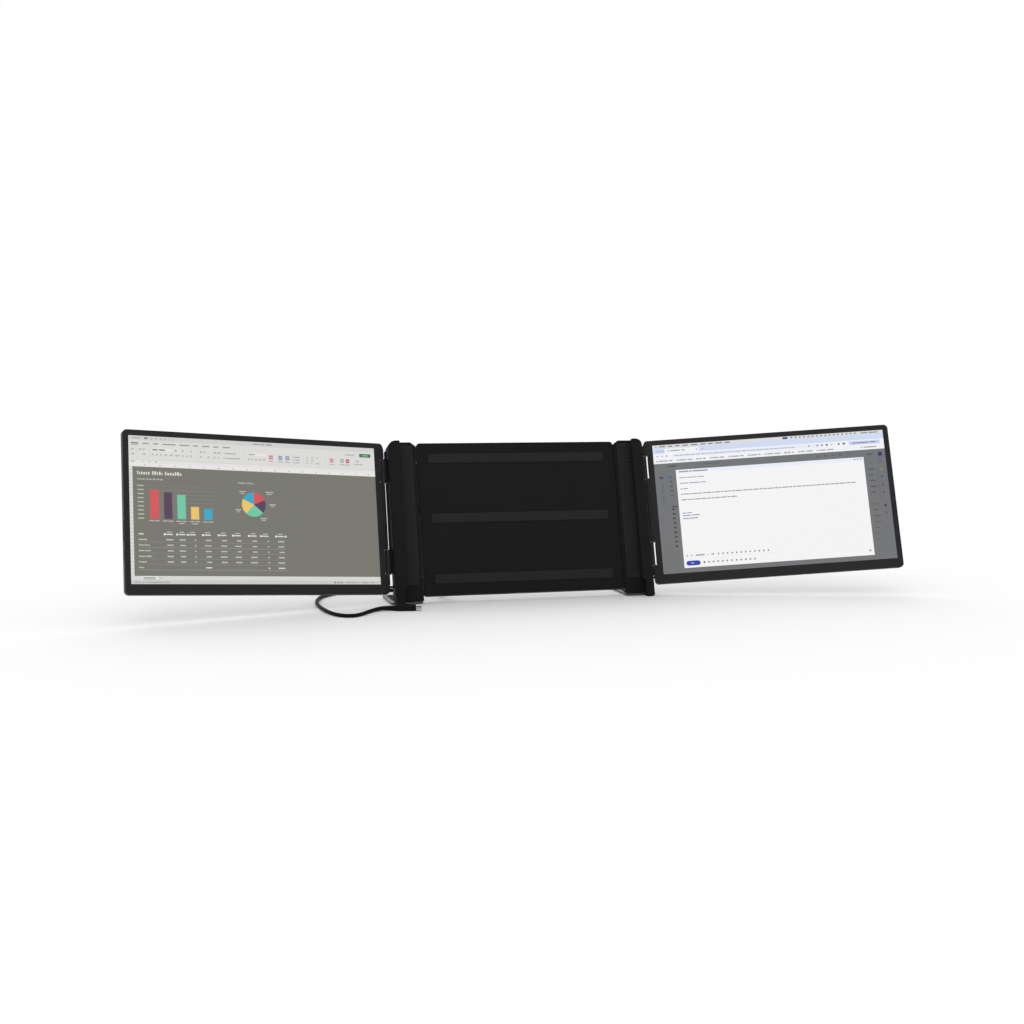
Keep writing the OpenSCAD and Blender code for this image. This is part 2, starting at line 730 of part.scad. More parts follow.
module centre_back_housing() {
  color("#1e1e1e") on_lid() difference() {
    union() {
      difference() {
        slab(arm_front, centre_t) centre_outline(0);
        slab(arm_front - 1, centre_t - centre_wall + 1) centre_outline(centre_wall);
      }
      for (spot = centre_spots) boss(spot, front_in, back_in + 1);
      // posts that the pull springs are wound on
      both() {
        peg(spring_x, spring_z, strip_y - 0.3, back_in - strip_y + 1, spring_post_r);
        peg(spring_x, spring_z, strip_y + strip_w + 0.2, back_in - strip_y - strip_w, 6);
      }
      // stand-offs under the hub board
      for (x = [-50, 50], z = [44, 84]) peg(x, z, back_in - 2.2, 3, 2.4);
      // stiffening ribs on the back wall
      for (z = [36, 124, 142]) translate([-centre_half + 1, back_in - 1.6, z]) cube([2 * centre_half - 2, 2, 1.4]);
      for (x = [-86, -60, 60, 86]) translate([x, back_in - 1.6, 123]) cube([1.4, 2, 20]);
    }
    both() {
      for (z = rod_heights) bar(centre_half - centre_wall - 1, centre_wall + 2, rod_y, z, rod_r + 0.4);
      translate([centre_half - centre_wall - 1, tongue_y - 0.4, tongue_z - 0.4])
        cube([centre_wall + 2, tongue_t + 0.8, tongue_h + 0.8]);
    }
    for (spot = centre_spots) peg(spot[0], spot[1], front_in - 1, centre_back - front_in + 2, screw_r + grip);
    for (spot = centre_spots) peg(spot[0], spot[1], centre_back - 1.4, 2, screw_head_r + 0.15);
    peg(cord_x, gland_z, back_in - 1, centre_wall + 2, gland_r - 0.4);
    // opening of the power socket
    translate([socket_x, 0, socket_z]) slab(back_in - 1, centre_wall + 2) round_rect(-4.8, -1.8, 9.6, 3.6, 1.79);
    // vent slots over the hub board
    for (i = [0:11]) translate([-44 + 8 * i, back_in - 1, 56]) cube([1.6, centre_wall + 2, 14]);
    // shallow recessed field in the back
    slab(centre_back - 0.4, 1) difference() {
      round_rect(-centre_half + 16, 28, 2 * centre_half - 32, 158, 8);
      round_rect(-52, 50, 104, 26, 3);
    }
  }
}

module centre_front_cover() {
  color("#202020") on_lid() difference() {
    slab(arm_front, front_t) centre_outline(centre_wall + 0.15);
    for (spot = centre_spots) peg(spot[0], spot[1], front_in - 0.9, 2, screw_r + grip);
  }
}

module lid_rest_pads() {
  color("#2b2b2b") on_lid() for (z = [14, 92, 170])
    slab(lid_t, liner_t) round_rect(-centre_half + 14, z, 2 * centre_half - 28, 12, 3);
}

module guide(z) {
  color("#a6a8ab") on_lid() difference() {
    translate([guide_in, front_in + 0.1, z - guide_h / 2])
      cube([guide_out - guide_in, back_in - front_in - 0.1, guide_h]);
    bar(guide_in - 1, guide_out - guide_in + 2, rod_y, z, rod_r + fit);
  }
}

// rolled steel strip that pulls an arm inwards
module pull_spring() {
  color("#9da0a3") on_lid() translate([0, strip_y, 0]) {
    translate([spring_x, 0, spring_z]) rotate([-90, 0, 0]) difference() {
      cylinder(h = strip_w, r = spring_r);
      translate([0, 0, -1]) cylinder(h = strip_w + 2, r = spring_post_r + 0.1);
    }
    translate([spring_x, 0, spring_z + spring_r - strip_t]) cube([tongue_in + 10 - spring_x, strip_w, strip_t]);
  }
}

module hub_board() {
  y0 = back_in - 2.2 - 1.2;
  color("#1f5a38") on_lid() {
    slab(y0, 1.2) round_rect(-55, 40, 110, 48, 2);
    for (x = [-30, 4]) translate([x, y0 - 1.2, 56]) cube([16, 1.3, 16]);
    for (x = [-46, 38]) translate([x, y0 - 2.4, 44]) cube([9, 2.5, 7]);
  }
}

// metal shell of the USB-C socket
module power_socket() {
  color("#b9bcc0") on_lid() translate([socket_x, 0, socket_z]) difference() {
    slab(back_in - 5, 5 + centre_wall - 0.2) round_rect(-4.6, -1.6, 9.2, 3.2, 1.59);
    slab(back_in - 3.5, 12) round_rect(-4.2, -1.2, 8.4, 2.4, 1.19);
  }
}

module centre_screws() {
  color("#3a3a3c") on_lid() for (spot = centre_spots) difference() {
    union() {
      peg(spot[0], spot[1], centre_back - 1.4, 1.2, screw_head_r);
      peg(spot[0], spot[1], arm_front + 1.1, centre_back - 1.4 - arm_front - 1.1, screw_r);
    }
    peg(spot[0], spot[1], centre_back - 0.9, 1, 0.9);
  }
}

// ---------- lead ----------
module strain_relief() {
  color("#141414") on_lid() difference() {
    union() {
      peg(cord_x, gland_z, back_in - 1.6, 1.5, gland_r + 1);
      peg(cord_x, gland_z, back_in - 0.2, centre_wall + 0.4, gland_r - 0.5);
      translate([cord_x, centre_back + 0.1, gland_z]) rotate([-90, 0, 0]) cylinder(h = gland_l - 0.1, r1 = gland_r, r2 = cord_r + 0.5);
    }
    for (i = [0:3]) peg_ring(centre_back + 5 + 3.6 * i);
  }
}

// groove that lets the strain relief bend
module peg_ring(y) {
  difference() {
    peg(cord_x, gland_z, y, 1.4, gland_r + 1);
    peg(cord_x, gland_z, y - 1, 3.4, cord_r + 0.3);
  }
}

function catmull(a, b, c, d, t) =
  0.5 * (2 * b + (c - a) * t + (2 * a - 5 * b + 4 * c - d) * t * t + (3 * b - a - 3 * c + d) * t * t * t);
function route_point(p, i) = p[min(max(i, 0), len(p) - 1)];
function smooth_route(p) = concat(
  [for (i = [0:len(p) - 2], t = [0, 0.5])
    catmull(route_point(p, i - 1), p[i], p[i + 1], route_point(p, i + 2), t)], [p[len(p) - 1]]);
function unit(v) = v / norm(v);

// tube along a route that never runs straight up
module tube(route, r, sides) {
  n = len(route);
  points = [for (i = [0:n - 1])
    let (along = unit(route[min(i + 1, n - 1)] - route[max(i - 1, 0)]),
         side = unit(cross([0, 0, 1], along)), up = cross(along, side))
    for (k = [0:sides - 1]) route[i] + r * (cos(360 * k / sides) * side + sin(360 * k / sides) * up)];
  skin = [for (i = [0:n - 2], k = [0:sides - 1])
    let (next = (k + 1) % sides) [i * sides + k, (i + 1) * sides + k, (i + 1) * sides + next, i * sides + next]];
  start = [for (k = [0:sides - 1]) k];
  end = [for (k = [sides - 1:-1:0]) (n - 1) * sides + k];
  polyhedron(points, concat(skin, [start, end]));
}

module lead() {
  color("#141414") tube(smooth_route([for (spot = cord_route) spot + [cord_x - cord_route[0][0], 0, 0]]), cord_r, 8);
}

// moulded plug with a metal tip, lying on the table along x
module lead_plug() {
  translate(plug_pos) rotate(plug_turn) {
    color("#181818") rotate([0, 90, 0]) cylinder(h = tail_l, r1 = cord_r + 0.3, r2 = cord_r + 0.9);
    color("#181818") translate([tail_l - 0.01, 0, 0]) rotate([90, 0, 90]) linear_extrude(plug_l)
      round_rect(-plug_w / 2, -plug_t / 2, plug_w, plug_t, 2.6);
    color("#c3c6ca") translate([tail_l + plug_l - 0.02, 0, 0]) rotate([90, 0, 90]) difference() {
      linear_extrude(tip_l) round_rect(-4.2, -1.25, 8.4, 2.5, 1.24);
      translate([0, 0, 0.8]) linear_extrude(tip_l) round_rect(-3.9, -0.95, 7.8, 1.9, 0.94);
    }
  }
}

centre_back_housing();
centre_front_cover();
lid_rest_pads();
left() guide(rod_high);  // left_upper_guide
left() guide(rod_low);  // left_lower_guide
guide(rod_high);  // right_upper_guide
guide(rod_low);  // right_lower_guide
left() pull_spring();  // left_spring
pull_spring();  // right_spring
hub_board();
power_socket();
centre_screws();
strain_relief();
lead();
lead_plug();
left() arm_frame();  // left_arm_frame
left() arm_cover();  // left_arm_cover
left() lid_liner();  // left_lid_liner
left() rod(rod_high);  // left_upper_rod
left() rod(rod_low);  // left_lower_rod
left() hinge_barrel(hinge_starts[1]);  // left_upper_barrel
left() hinge_barrel(hinge_starts[0]);  // left_lower_barrel
left() toe_pad();  // left_toe_pad
left() foot_pin();  // left_foot_pin
left() arm_screws();  // left_arm_screws
left() cable_sleeve();  // left_cable_sleeve
left() foot_plate();  // left_foot_plate
left() foot_pads();  // left_foot_pads
left() screen_back();  // left_screen_back
left() bezel();  // left_bezel
left() display();  // left_display
left() backlight();  // left_backlight
left() driver_board();  // left_driver_board
left() hinge_brackets();  // left_hinge_brackets
left() hinge_pins();  // left_hinge_pins
left() menu_button();  // left_menu_button
left() brightness_rocker();  // left_brightness_rocker
arm_frame();  // right_arm_frame
arm_cover();  // right_arm_cover
lid_liner();  // right_lid_liner
rod(rod_high);  // right_upper_rod
rod(rod_low);  // right_lower_rod
hinge_barrel(hinge_starts[1]);  // right_upper_barrel
hinge_barrel(hinge_starts[0]);  // right_lower_barrel
toe_pad();  // right_toe_pad
foot_pin();  // right_foot_pin
arm_screws();  // right_arm_screws
cable_sleeve();  // right_cable_sleeve
foot_plate();  // right_foot_plate
foot_pads();  // right_foot_pads
screen_back();  // right_screen_back
bezel();  // right_bezel
display();  // right_display
backlight();  // right_backlight
driver_board();  // right_driver_board
hinge_brackets();  // right_hinge_brackets
hinge_pins();  // right_hinge_pins
menu_button();  // right_menu_button
brightness_rocker();  // right_brightness_rocker
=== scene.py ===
# %% [markdown]
# # The looks of a laptop screen extender
# The CAD model holds every rigid piece at its real size, with its joints. This lesson loads
# it as a fixed frame and adds what the eye needs: the lead on the table, moulded and painted
# finishes, softened edges, lit displays, cross-head screws and the small hinge cables.
# All lengths are written in millimetres, the unit on the maker's drawing, and are turned to
# metres only when a piece is put in its place.

# %% Load the frame
import math
import random

import bmesh
import bpy
import numpy as np
from mathutils import Matrix, Vector


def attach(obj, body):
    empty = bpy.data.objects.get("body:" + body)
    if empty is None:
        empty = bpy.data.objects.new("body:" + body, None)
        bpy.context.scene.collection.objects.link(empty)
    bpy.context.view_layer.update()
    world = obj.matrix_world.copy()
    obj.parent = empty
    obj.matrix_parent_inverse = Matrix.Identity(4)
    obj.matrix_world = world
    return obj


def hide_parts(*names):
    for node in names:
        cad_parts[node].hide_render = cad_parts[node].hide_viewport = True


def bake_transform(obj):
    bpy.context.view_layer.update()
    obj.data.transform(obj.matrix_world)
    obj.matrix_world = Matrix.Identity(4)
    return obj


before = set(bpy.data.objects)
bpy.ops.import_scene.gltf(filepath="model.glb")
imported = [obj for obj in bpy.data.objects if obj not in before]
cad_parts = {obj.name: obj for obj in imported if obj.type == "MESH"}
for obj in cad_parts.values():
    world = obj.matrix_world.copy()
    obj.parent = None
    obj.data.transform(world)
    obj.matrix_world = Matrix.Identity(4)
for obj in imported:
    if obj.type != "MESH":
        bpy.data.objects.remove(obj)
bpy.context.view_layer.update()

# %% [markdown]
# ## Places
# The laptop's lid leans back, and the whole unit hangs on it. So one matrix takes a point
# drawn on the upright lid to the world: first the lean, then the height of the lid's foot
# above the table. A second matrix goes from there to a display, which is turned towards the
# user about its hinge line. The left half is the right half in a mirror.

# %% Matrices from the drawing to the world
MM = Matrix.Scale(0.001, 4)
LEAN, STAND_HEIGHT = math.radians(16), 12.5
HINGE_X, HINGE_Y, SCREEN_LIFT = 176.05, 11.35, 2.8
SCREEN_TURN, HINGE_GAP, SCREEN_DEPTH = math.radians(15), 1.35, 8.3

LID = Matrix.Translation((0, 0, STAND_HEIGHT)) @ Matrix.Rotation(-LEAN, 4, "X")
SCREEN = (
    LID
    @ Matrix.Translation((HINGE_X, HINGE_Y, SCREEN_LIFT))
    @ Matrix.Rotation(-SCREEN_TURN, 4, "Z")
    @ Matrix.Translation((HINGE_GAP, -SCREEN_DEPTH / 2, 0))
)
MIRROR = Matrix.Scale(-1, 4, (1, 0, 0))
SIDES = {"right": Matrix.Identity(4), "left": MIRROR}
print("hinge line starts at", [round(v, 1) for v in (LID @ Vector((HINGE_X, HINGE_Y, 0)))])

# %% [markdown]
# ## Camera
# A product picture like this is taken from a little above the table and from the user's
# left, with a lens a bit longer than normal so that the long row of displays keeps its
# proportions. The camera's three axes are worked out from its heading and its tilt.

# %% Camera
IMAGE_SIDE, SENSOR, FOCAL = 1024, 36.0, 1368.2
CAMERA_AT, BEARING, TILT, ROLL = (-0.4699, -1.6643, 0.2749), 0.2632, 0.0932, 0.0025


def put(name, data):
    """A new object with this data, linked to the scene."""
    made = bpy.data.objects.new(name, data)
    bpy.context.scene.collection.objects.link(made)
    return made


forward = Vector((math.sin(BEARING) * math.cos(TILT), math.cos(BEARING) * math.cos(TILT),
                  -math.sin(TILT)))
level = Vector((math.cos(BEARING), -math.sin(BEARING), 0))
upward = level.cross(forward)
across = math.cos(ROLL) * level + math.sin(ROLL) * upward
upright = -math.sin(ROLL) * level + math.cos(ROLL) * upward

lens = bpy.data.cameras.new("camera")
lens.sensor_width, lens.lens = SENSOR, FOCAL / IMAGE_SIDE * SENSOR
camera = put("camera", lens)
camera.matrix_world = (Matrix.Translation(CAMERA_AT)
                       @ Matrix((across, upright, -forward)).transposed().to_4x4())
bpy.context.scene.camera = camera
print("lens", round(lens.lens, 1), "mm")

# %% [markdown]
# ## The lead
# The unit takes picture and power from the laptop through one short lead. It leaves the
# back unit through a bend relief, drops to the table, runs round behind the left foot and
# comes forward in one loose bow to the laptop's side. A lead is one length of something
# springy, so it is drawn as one curve: the points of its route, joined by a smooth line
# (each point pulls the line towards its neighbours), and given a round section.

# %% Route of the lead
LEAD_D = 4.5
ROUTE = [
    (-100, 39, 10.7), (-100, 48, 8.1), (-100.5, 58, 5.5), (-102, 68, 3.6), (-105, 78, 2.6),
    (-111, 89, 2.3), (-121, 99, 2.3), (-135, 107, 2.3), (-152, 112, 2.3), (-171, 114.5, 2.3),
    (-191, 115, 2.3), (-210, 112, 2.3), (-227, 105.5, 2.3), (-241.5, 95, 2.3), (-252.5, 80, 2.3),
    (-260, 60, 2.3), (-264.5, 36, 2.3), (-265.6, 10, 2.3), (-264, -14, 2.3), (-260.5, -37, 2.3),
    (-255, -57, 2.3), (-246.5, -70, 2.3), (-235, -73.5, 2.3), (-224.5, -66, 2.3), (-214, -52, 2.4),
    (-203.5, -40.5, 2.8), (-194, -35.6, 3.3), (-186, -36.5, 3.4),
]


def smooth_line(points, steps):
    """The points of a smooth line through these, with this many steps between two."""
    ends = [Vector(points[0])] + [Vector(p) for p in points] + [Vector(points[-1])]
    line = []
    for a, b, c, d in zip(ends, ends[1:], ends[2:], ends[3:]):
        for t in (i / steps for i in range(steps)):
            line.append(0.5 * (2 * b + (c - a) * t + (2 * a - 5 * b + 4 * c - d) * t**2
                               + (3 * b - a - 3 * c + d) * t**3))
    return line + [ends[-1]]


def tube(name, line, first, last, fineness=3):
    """A round curve along a line in millimetres, whose diameter runs from first to last."""
    data = bpy.data.curves.new(name, "CURVE")
    data.dimensions, data.use_fill_caps = "3D", True
    data.bevel_depth, data.bevel_resolution = 1, fineness
    strand = data.splines.new("POLY")
    strand.points.add(len(line) - 1)
    for i, (point, spot) in enumerate(zip(strand.points, line)):
        diameter = first + (last - first) * i / (len(line) - 1)
        point.co, point.radius = (*(spot * 0.001), 1), diameter / 2000
    strand.use_smooth = True
    return put(name, data)


lead_line = smooth_line(ROUTE, 6)
lead = tube("lead_cable", lead_line, LEAD_D, LEAD_D, fineness=4)
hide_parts("lead")
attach(lead, "centre_unit")

# %% [markdown]
# ## Working by hand
# The next cell holds the few moves that all modelled pieces share. A piece is started from
# a primitive with nothing else selected, and its faces or edges are then picked by where
# they are or by which way they look, as one would click on them.

# %% Modelling helpers


def only(*pieces):
    """Selects these pieces and no other; the first one becomes the active one."""
    bpy.ops.object.select_all(action="DESELECT")
    for piece in pieces:
        piece.select_set(True)
    bpy.context.view_layer.objects.active = pieces[0]


def start(name, primitive, **size):
    """Adds a primitive on its own, names it and goes into edit mode with nothing selected."""
    if bpy.context.mode != "OBJECT":
        bpy.ops.object.mode_set(mode="OBJECT")
    bpy.ops.object.select_all(action="DESELECT")
    getattr(bpy.ops.mesh, f"primitive_{primitive}_add")(**size)
    piece = bpy.context.object
    piece.name = piece.data.name = name
    bpy.ops.object.transform_apply(location=True, rotation=True, scale=True)
    bpy.ops.object.mode_set(mode="EDIT")
    bpy.ops.mesh.select_all(action="DESELECT")
    return piece


def pick_all():
    """Selects the whole piece in edit mode."""
    bpy.ops.mesh.select_all(action="SELECT")


def pick(kind, test):
    """Selects the faces, edges or verts for which test is true, and only those."""
    bpy.ops.mesh.select_all(action="DESELECT")
    bpy.ops.mesh.select_mode(type={"faces": "FACE", "edges": "EDGE", "verts": "VERT"}[kind])
    shape = bmesh.from_edit_mesh(bpy.context.object.data)
    for part in getattr(shape, kind):
        if test(part):
            part.select_set(True)
    shape.select_flush_mode()
    bmesh.update_edit_mesh(bpy.context.object.data)


def facing(x=0, y=0, z=0, least=0.99):
    """A test that is true for faces that look along this direction."""
    way = Vector((x, y, z)).normalized()
    return lambda face: face.normal.dot(way) > least


def round_rim(axis, at, radius, segments=3):
    """Rounds the edges that lie in the plane across this axis, at this place."""
    pick("edges", lambda edge: all(abs(getattr(v.co, axis) - at) < 0.01 for v in edge.verts))
    bpy.ops.mesh.bevel(offset=radius, segments=segments)


def pull(x=0, y=0, z=0):
    """Extrudes what is selected."""
    bpy.ops.mesh.extrude_region_move(TRANSFORM_OT_translate={"value": (x, y, z)})


def scale(x=1, y=1, z=1):
    """Scales what is selected about its own middle."""
    shape = bmesh.from_edit_mesh(bpy.context.object.data)
    chosen = [v.co for v in shape.verts if v.select]
    middle = sum(chosen, Vector()) / len(chosen)
    bpy.ops.transform.resize(value=(x, y, z), center_override=middle)


print("modelling helpers ready")

# %% [markdown]
# When its shape is done, a piece is closed and put in its place in the world, with its
# normals turned outwards. The object itself stays at the origin, as the CAD nodes do, so
# that patterns stay put too. Many small parts start as a plate with round corners.

# %% Plates, and putting a piece in its place


def round_plate(name, width, height, thick, radius, z=0, segments=6):
    """A plate with round corners, centred in x and y, standing on z; left in edit mode."""
    piece = start(name, "plane", size=1)
    pick_all()
    bpy.ops.transform.resize(value=(width, height, 1), center_override=(0, 0, 0))
    bpy.ops.transform.translate(value=(0, 0, z))
    bpy.ops.mesh.bevel(offset=radius, segments=segments, affect="VERTICES")
    pick_all()
    pull(z=thick)
    pick_all()
    bpy.ops.mesh.normals_make_consistent(inside=False)
    return piece


def close_up(slack):
    """Merges points that lie this close, turns all faces outwards and leaves edit mode."""
    pick_all()
    bpy.ops.mesh.remove_doubles(threshold=slack)
    bpy.ops.mesh.normals_make_consistent(inside=False)
    bpy.ops.object.mode_set(mode="OBJECT")


def place(piece, where, smooth=30):
    """Closes the piece, puts it in its place in the world and smooths its round faces."""
    if bpy.context.mode == "OBJECT":
        bpy.context.view_layer.objects.active = piece
        bpy.ops.object.mode_set(mode="EDIT")
    close_up(1e-5)
    piece.data.transform(MM @ where)
    if where.is_negative:
        piece.data.flip_normals()
    piece.data.update()
    only(piece)
    bpy.ops.object.shade_smooth_by_angle(angle=math.radians(smooth))
    return piece


def belongs(piece, body, slot, *replaced):
    """Says which body a piece rides on and which CAD nodes it shows, and hides those nodes. The
    slot, what it is made of, is not used.
    """
    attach(piece, body)
    if replaced:
        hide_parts(*replaced)
    print(piece.name, "on", body, "faces:", len(piece.data.polygons))


print("lid to world:", [round(v, 3) for v in LID.to_translation()])

# %% [markdown]
# ## The plug
# The lead ends in a small overmoulded plug: soft black plastic shot round the contacts, with
# a stepped bend relief at its tail and a plated tip that goes into the laptop. It is built
# standing up, as a round-cornered plate that is drawn out to a block with rounded rims.

# %% Plug body
PLUG_W, PLUG_T, TAIL, BODY = 11.6, 6.8, 9.0, 24.0
STAND_UP = Matrix(((0, 0, 1, 0), (1, 0, 0, 0), (0, 1, 0, 0), (0, 0, 0, 1)))
PLUG = Matrix.Translation(ROUTE[-1]) @ Matrix.Rotation(math.radians(-9), 4, "Z") @ STAND_UP

plug_body = round_plate("plug_body", PLUG_W, PLUG_T, BODY, 2.6, z=TAIL, segments=7)
round_rim("z", TAIL + BODY, 0.9)
round_rim("z", TAIL, 0.7)
print("plug block:", PLUG_W, "x", PLUG_T, "x", BODY, "mm")

# %% [markdown]
# The tail grows from the lower face, whose corners are spread evenly on a circle. That
# circle is extruded in short steps, wide and narrow in turn, which gives the relief its
# ribs, and at the end it narrows to the lead.

# %% Plug tail
RIBS, RIB_R, TAPER, GROOVE, FLAT = 5, 3.38, 0.11, 0.35, 0.07
pick("faces", facing(z=-1))
bpy.ops.mesh.inset(thickness=0.2)
rim = 3.0
ring = [v for v in bmesh.from_edit_mesh(plug_body.data).verts if v.select]
ring.sort(key=lambda v: math.atan2(v.co.y, v.co.x))
for i, corner in enumerate(ring):
    turn = 2 * math.pi * (i + 0.5) / len(ring) - math.pi
    corner.co.x, corner.co.y = rim * math.cos(turn), rim * math.sin(turn)
bmesh.update_edit_mesh(plug_body.data)

steps = []
for rib in range(RIBS):
    thick = RIB_R - TAPER * rib
    steps += [(0.3, thick - GROOVE), (0.6, thick - GROOVE), (0.15, thick), (0.65, thick - FLAT)]
for drop, radius in steps + [(2.2, 2.42)]:
    pull(z=-drop)
    scale(radius / rim, radius / rim, 1)
    rim = radius
place(plug_body, PLUG, smooth=40)
belongs(plug_body, "centre_unit", "plug_body", "lead_plug")

# %% [markdown]
# The plated tip is a folded and seam-welded steel shell. It is drawn out like the body, then
# its end face is inset by the sheet's thickness and pushed back inside, which makes the
# mouth.

# %% Plug tip
TIP, ROOT, SHELL_T, MOUTH = 6.6, 1, 0.3, 5.6
plug_tip = round_plate("plug_tip", 8.4, 2.5, TIP + ROOT, 1.24, z=TAIL + BODY - ROOT, segments=8)
pick("faces", facing(z=1))
bpy.ops.mesh.inset(thickness=SHELL_T)
pull(z=-MOUTH)
place(plug_tip, PLUG)
belongs(plug_tip, "centre_unit", "plated_shell")

# %% [markdown]
# The contacts are thin gilt springs along both inner walls. Each is a small bar, narrowed
# towards its free end and rounded along the rim that looks into the mouth. The sixteen bars
# are joined to one piece.

# %% Plug contacts
CONTACT, PITCH, ROW_Y = (0.28, 0.14, 3.6), 0.62, 0.88


def block(name, size, middle=(0, 0, 0)):
    """A bar of this size round a middle, all selected and left in edit mode."""
    piece = start(name, "cube", size=1)
    pick_all()
    bpy.ops.transform.resize(value=size, center_override=(0, 0, 0))
    bpy.ops.transform.translate(value=middle)
    return piece


def join(name, pieces):
    """Makes one piece of several."""
    only(*pieces)
    bpy.ops.object.join()
    pieces[0].name = pieces[0].data.name = name
    return pieces[0]


contacts = []
for row in (-1, 1):
    for i in range(8):
        contact = block("contact", CONTACT)
        pick("faces", facing(z=1))
        scale(0.7, 0.4, 1)
        pick("edges", lambda e: all(v.co.z > 0 and v.co.y * row < 0 for v in e.verts))
        bpy.ops.mesh.bevel(offset=0.05, segments=2)
        pick_all()
        spot = (PITCH * (i - 3.5), ROW_Y * row, TAIL + BODY + TIP / 2)
        bpy.ops.transform.translate(value=spot)
        contacts.append(place(contact, PLUG))
contacts = join("plug_contacts", contacts)
belongs(contacts, "centre_unit", "plated_shell")

# %% [markdown]
# Behind the ribs a soft sleeve tapers off along the lead, so that the lead can't be bent
# sharply where it leaves the plug. It is a second tube round the last points of the same
# line, and its diameter grows towards the plug.

# %% Plug sleeve


def solid_tube(name, line, first, last):
    """A tube that is turned into a closed mesh."""
    only(tube(name, line, first, last))
    bpy.ops.object.convert(target="MESH")
    bpy.ops.object.mode_set(mode="EDIT")
    close_up(1e-7)
    bpy.ops.object.shade_smooth_by_angle(angle=math.radians(40))
    return bpy.context.object


plug_sleeve = solid_tube("plug_sleeve", lead_line[-13:], 4.7, 5.7)
belongs(plug_sleeve, "centre_unit", "plug_body")

# %% [markdown]
# ## Colours and nodes
# Colours are written as sRGB hex values, as a colour chart gives them, and Blender's sockets
# take linear light, so one function turns them over. A second function adds a shader node
# with its settings and its links, whatever kind it is, which keeps each material readable.

# %% Colour and node helpers


def linear(colour):
    """An sRGB hex colour as linear red, green, blue and alpha."""
    parts = [int(colour[i:i + 2], 16) / 255 for i in (1, 3, 5)]
    return [c / 12.92 if c <= 0.04045 else ((c + 0.055) / 1.055) ** 2.4 for c in parts] + [1.0]


def add(tree, kind, settings=(), links=()):
    """Adds a shader node. Settings are its sockets' values or its own properties. A link
    comes from a socket, or from a node, and then from its first output."""
    node = tree.nodes.new("ShaderNode" + kind)
    for key, value in dict(settings).items():
        if isinstance(key, int) or key in node.inputs:
            node.inputs[key].default_value = value
        else:
            setattr(node, key, value)
    for key, source in dict(links).items():
        tree.links.new(getattr(source, "outputs", [source])[0], node.inputs[key])
    return node


def new_material(name):
    """An empty material, its tree and its Object coordinates."""
    material = bpy.data.materials.new(name)
    material.use_nodes = True
    material.node_tree.nodes.clear()
    tree = material.node_tree
    return material, tree, add(tree, "TexCoord").outputs["Object"]


def per_mm(size):
    """The Scale of a noise or Voronoi pattern whose grains are this many millimetres."""
    return 1000 / size


# %% [markdown]
# ## The table and the light
# The table is plain and white, and runs out of sight into a white backdrop. Near the object
# it is a real diffuse surface, so it takes the soft shadow; further away it turns by degrees
# to pure white for the camera and for mirror rays, so that no horizon shows.

# %% Table
NEAR, FAR = 0.75, 1.5
bpy.ops.object.select_all(action="DESELECT")
bpy.ops.mesh.primitive_plane_add(size=14)
table = bpy.context.object
table.name = "table"
material, tree, coordinates = new_material("white laminate")
paper = add(tree, "BsdfDiffuse", {"Color": linear("#f6f6f6")})
white = add(tree, "Emission", {"Color": (1, 1, 1, 1), "Strength": 1.0})
distance = add(tree, "VectorMath", {"operation": "LENGTH"}, {0: coordinates})
away = add(tree, "MapRange",
           {"From Min": NEAR, "From Max": FAR, "interpolation_type": "SMOOTHSTEP"},
           {"Value": distance.outputs["Value"]})
rays = add(tree, "LightPath").outputs
seen = rays["Is Camera Ray"]
for kind in ("Is Glossy Ray", "Is Transmission Ray"):
    seen = add(tree, "Math", {"operation": "MAXIMUM"}, {0: seen, 1: rays[kind]})
share = add(tree, "Math", {"operation": "MULTIPLY"}, {0: seen, 1: away})
mix = add(tree, "MixShader", {}, {0: share, 1: paper, 2: white})
add(tree, "OutputMaterial", {}, {"Surface": mix})
table.data.materials.append(material)
print("table turns to pure white from", NEAR, "to", FAR, "m")

# %% [markdown]
# The room's light is that of a white studio: a glow from all round that is strongest from
# the lit backdrop behind. That light reaches the table under the displays, so the shadow
# there stays pale. Black plastic shows whatever stands in front of it, and a photographer
# keeps that side dark. So the camera and mirror rays see the same white backdrop, and mirror
# rays that turn back to the camera's side see a dim room.

# %% World
GLOW, ROOM = (0.48, 1.46), (0.12, 1.0)
world = bpy.data.worlds.new("studio")
bpy.context.scene.world = world
world.use_nodes = True
world.node_tree.nodes.clear()
tree = world.node_tree
parts = add(tree, "SeparateXYZ", {}, {0: add(tree, "TexCoord").outputs["Generated"]})
rays = add(tree, "LightPath").outputs


def front_to_back(front, back):
    """A brightness that changes from the camera's side of the room to the far side."""
    limits = {"From Min": -0.5, "From Max": 0.5, "To Min": front, "To Max": back}
    return add(tree, "MapRange", limits, {"Value": parts.outputs["Y"]})


mirror = add(tree, "Math", {"operation": "MAXIMUM"},
             {0: rays["Is Glossy Ray"], 1: rays["Is Transmission Ray"]})
glow = add(tree, "Mix", {"data_type": "FLOAT"},
           {0: mirror, 2: front_to_back(*GLOW), 3: front_to_back(*ROOM)})
shown = add(tree, "Mix", {"data_type": "FLOAT", 3: 1.0}, {0: rays["Is Camera Ray"], 2: glow})
light = add(tree, "Background", {"Color": (1, 1, 1, 1)}, {"Strength": shown})
add(tree, "OutputWorld", {}, {"Surface": light})
print("glow, front and back:", GLOW, "in mirror rays:", ROOM)

# %% [markdown]
# Two large soft panels help the glow: one stands in front and above, and one hangs above and
# behind. They give the shadows a side and the edges a thin light line.

# %% Lamps


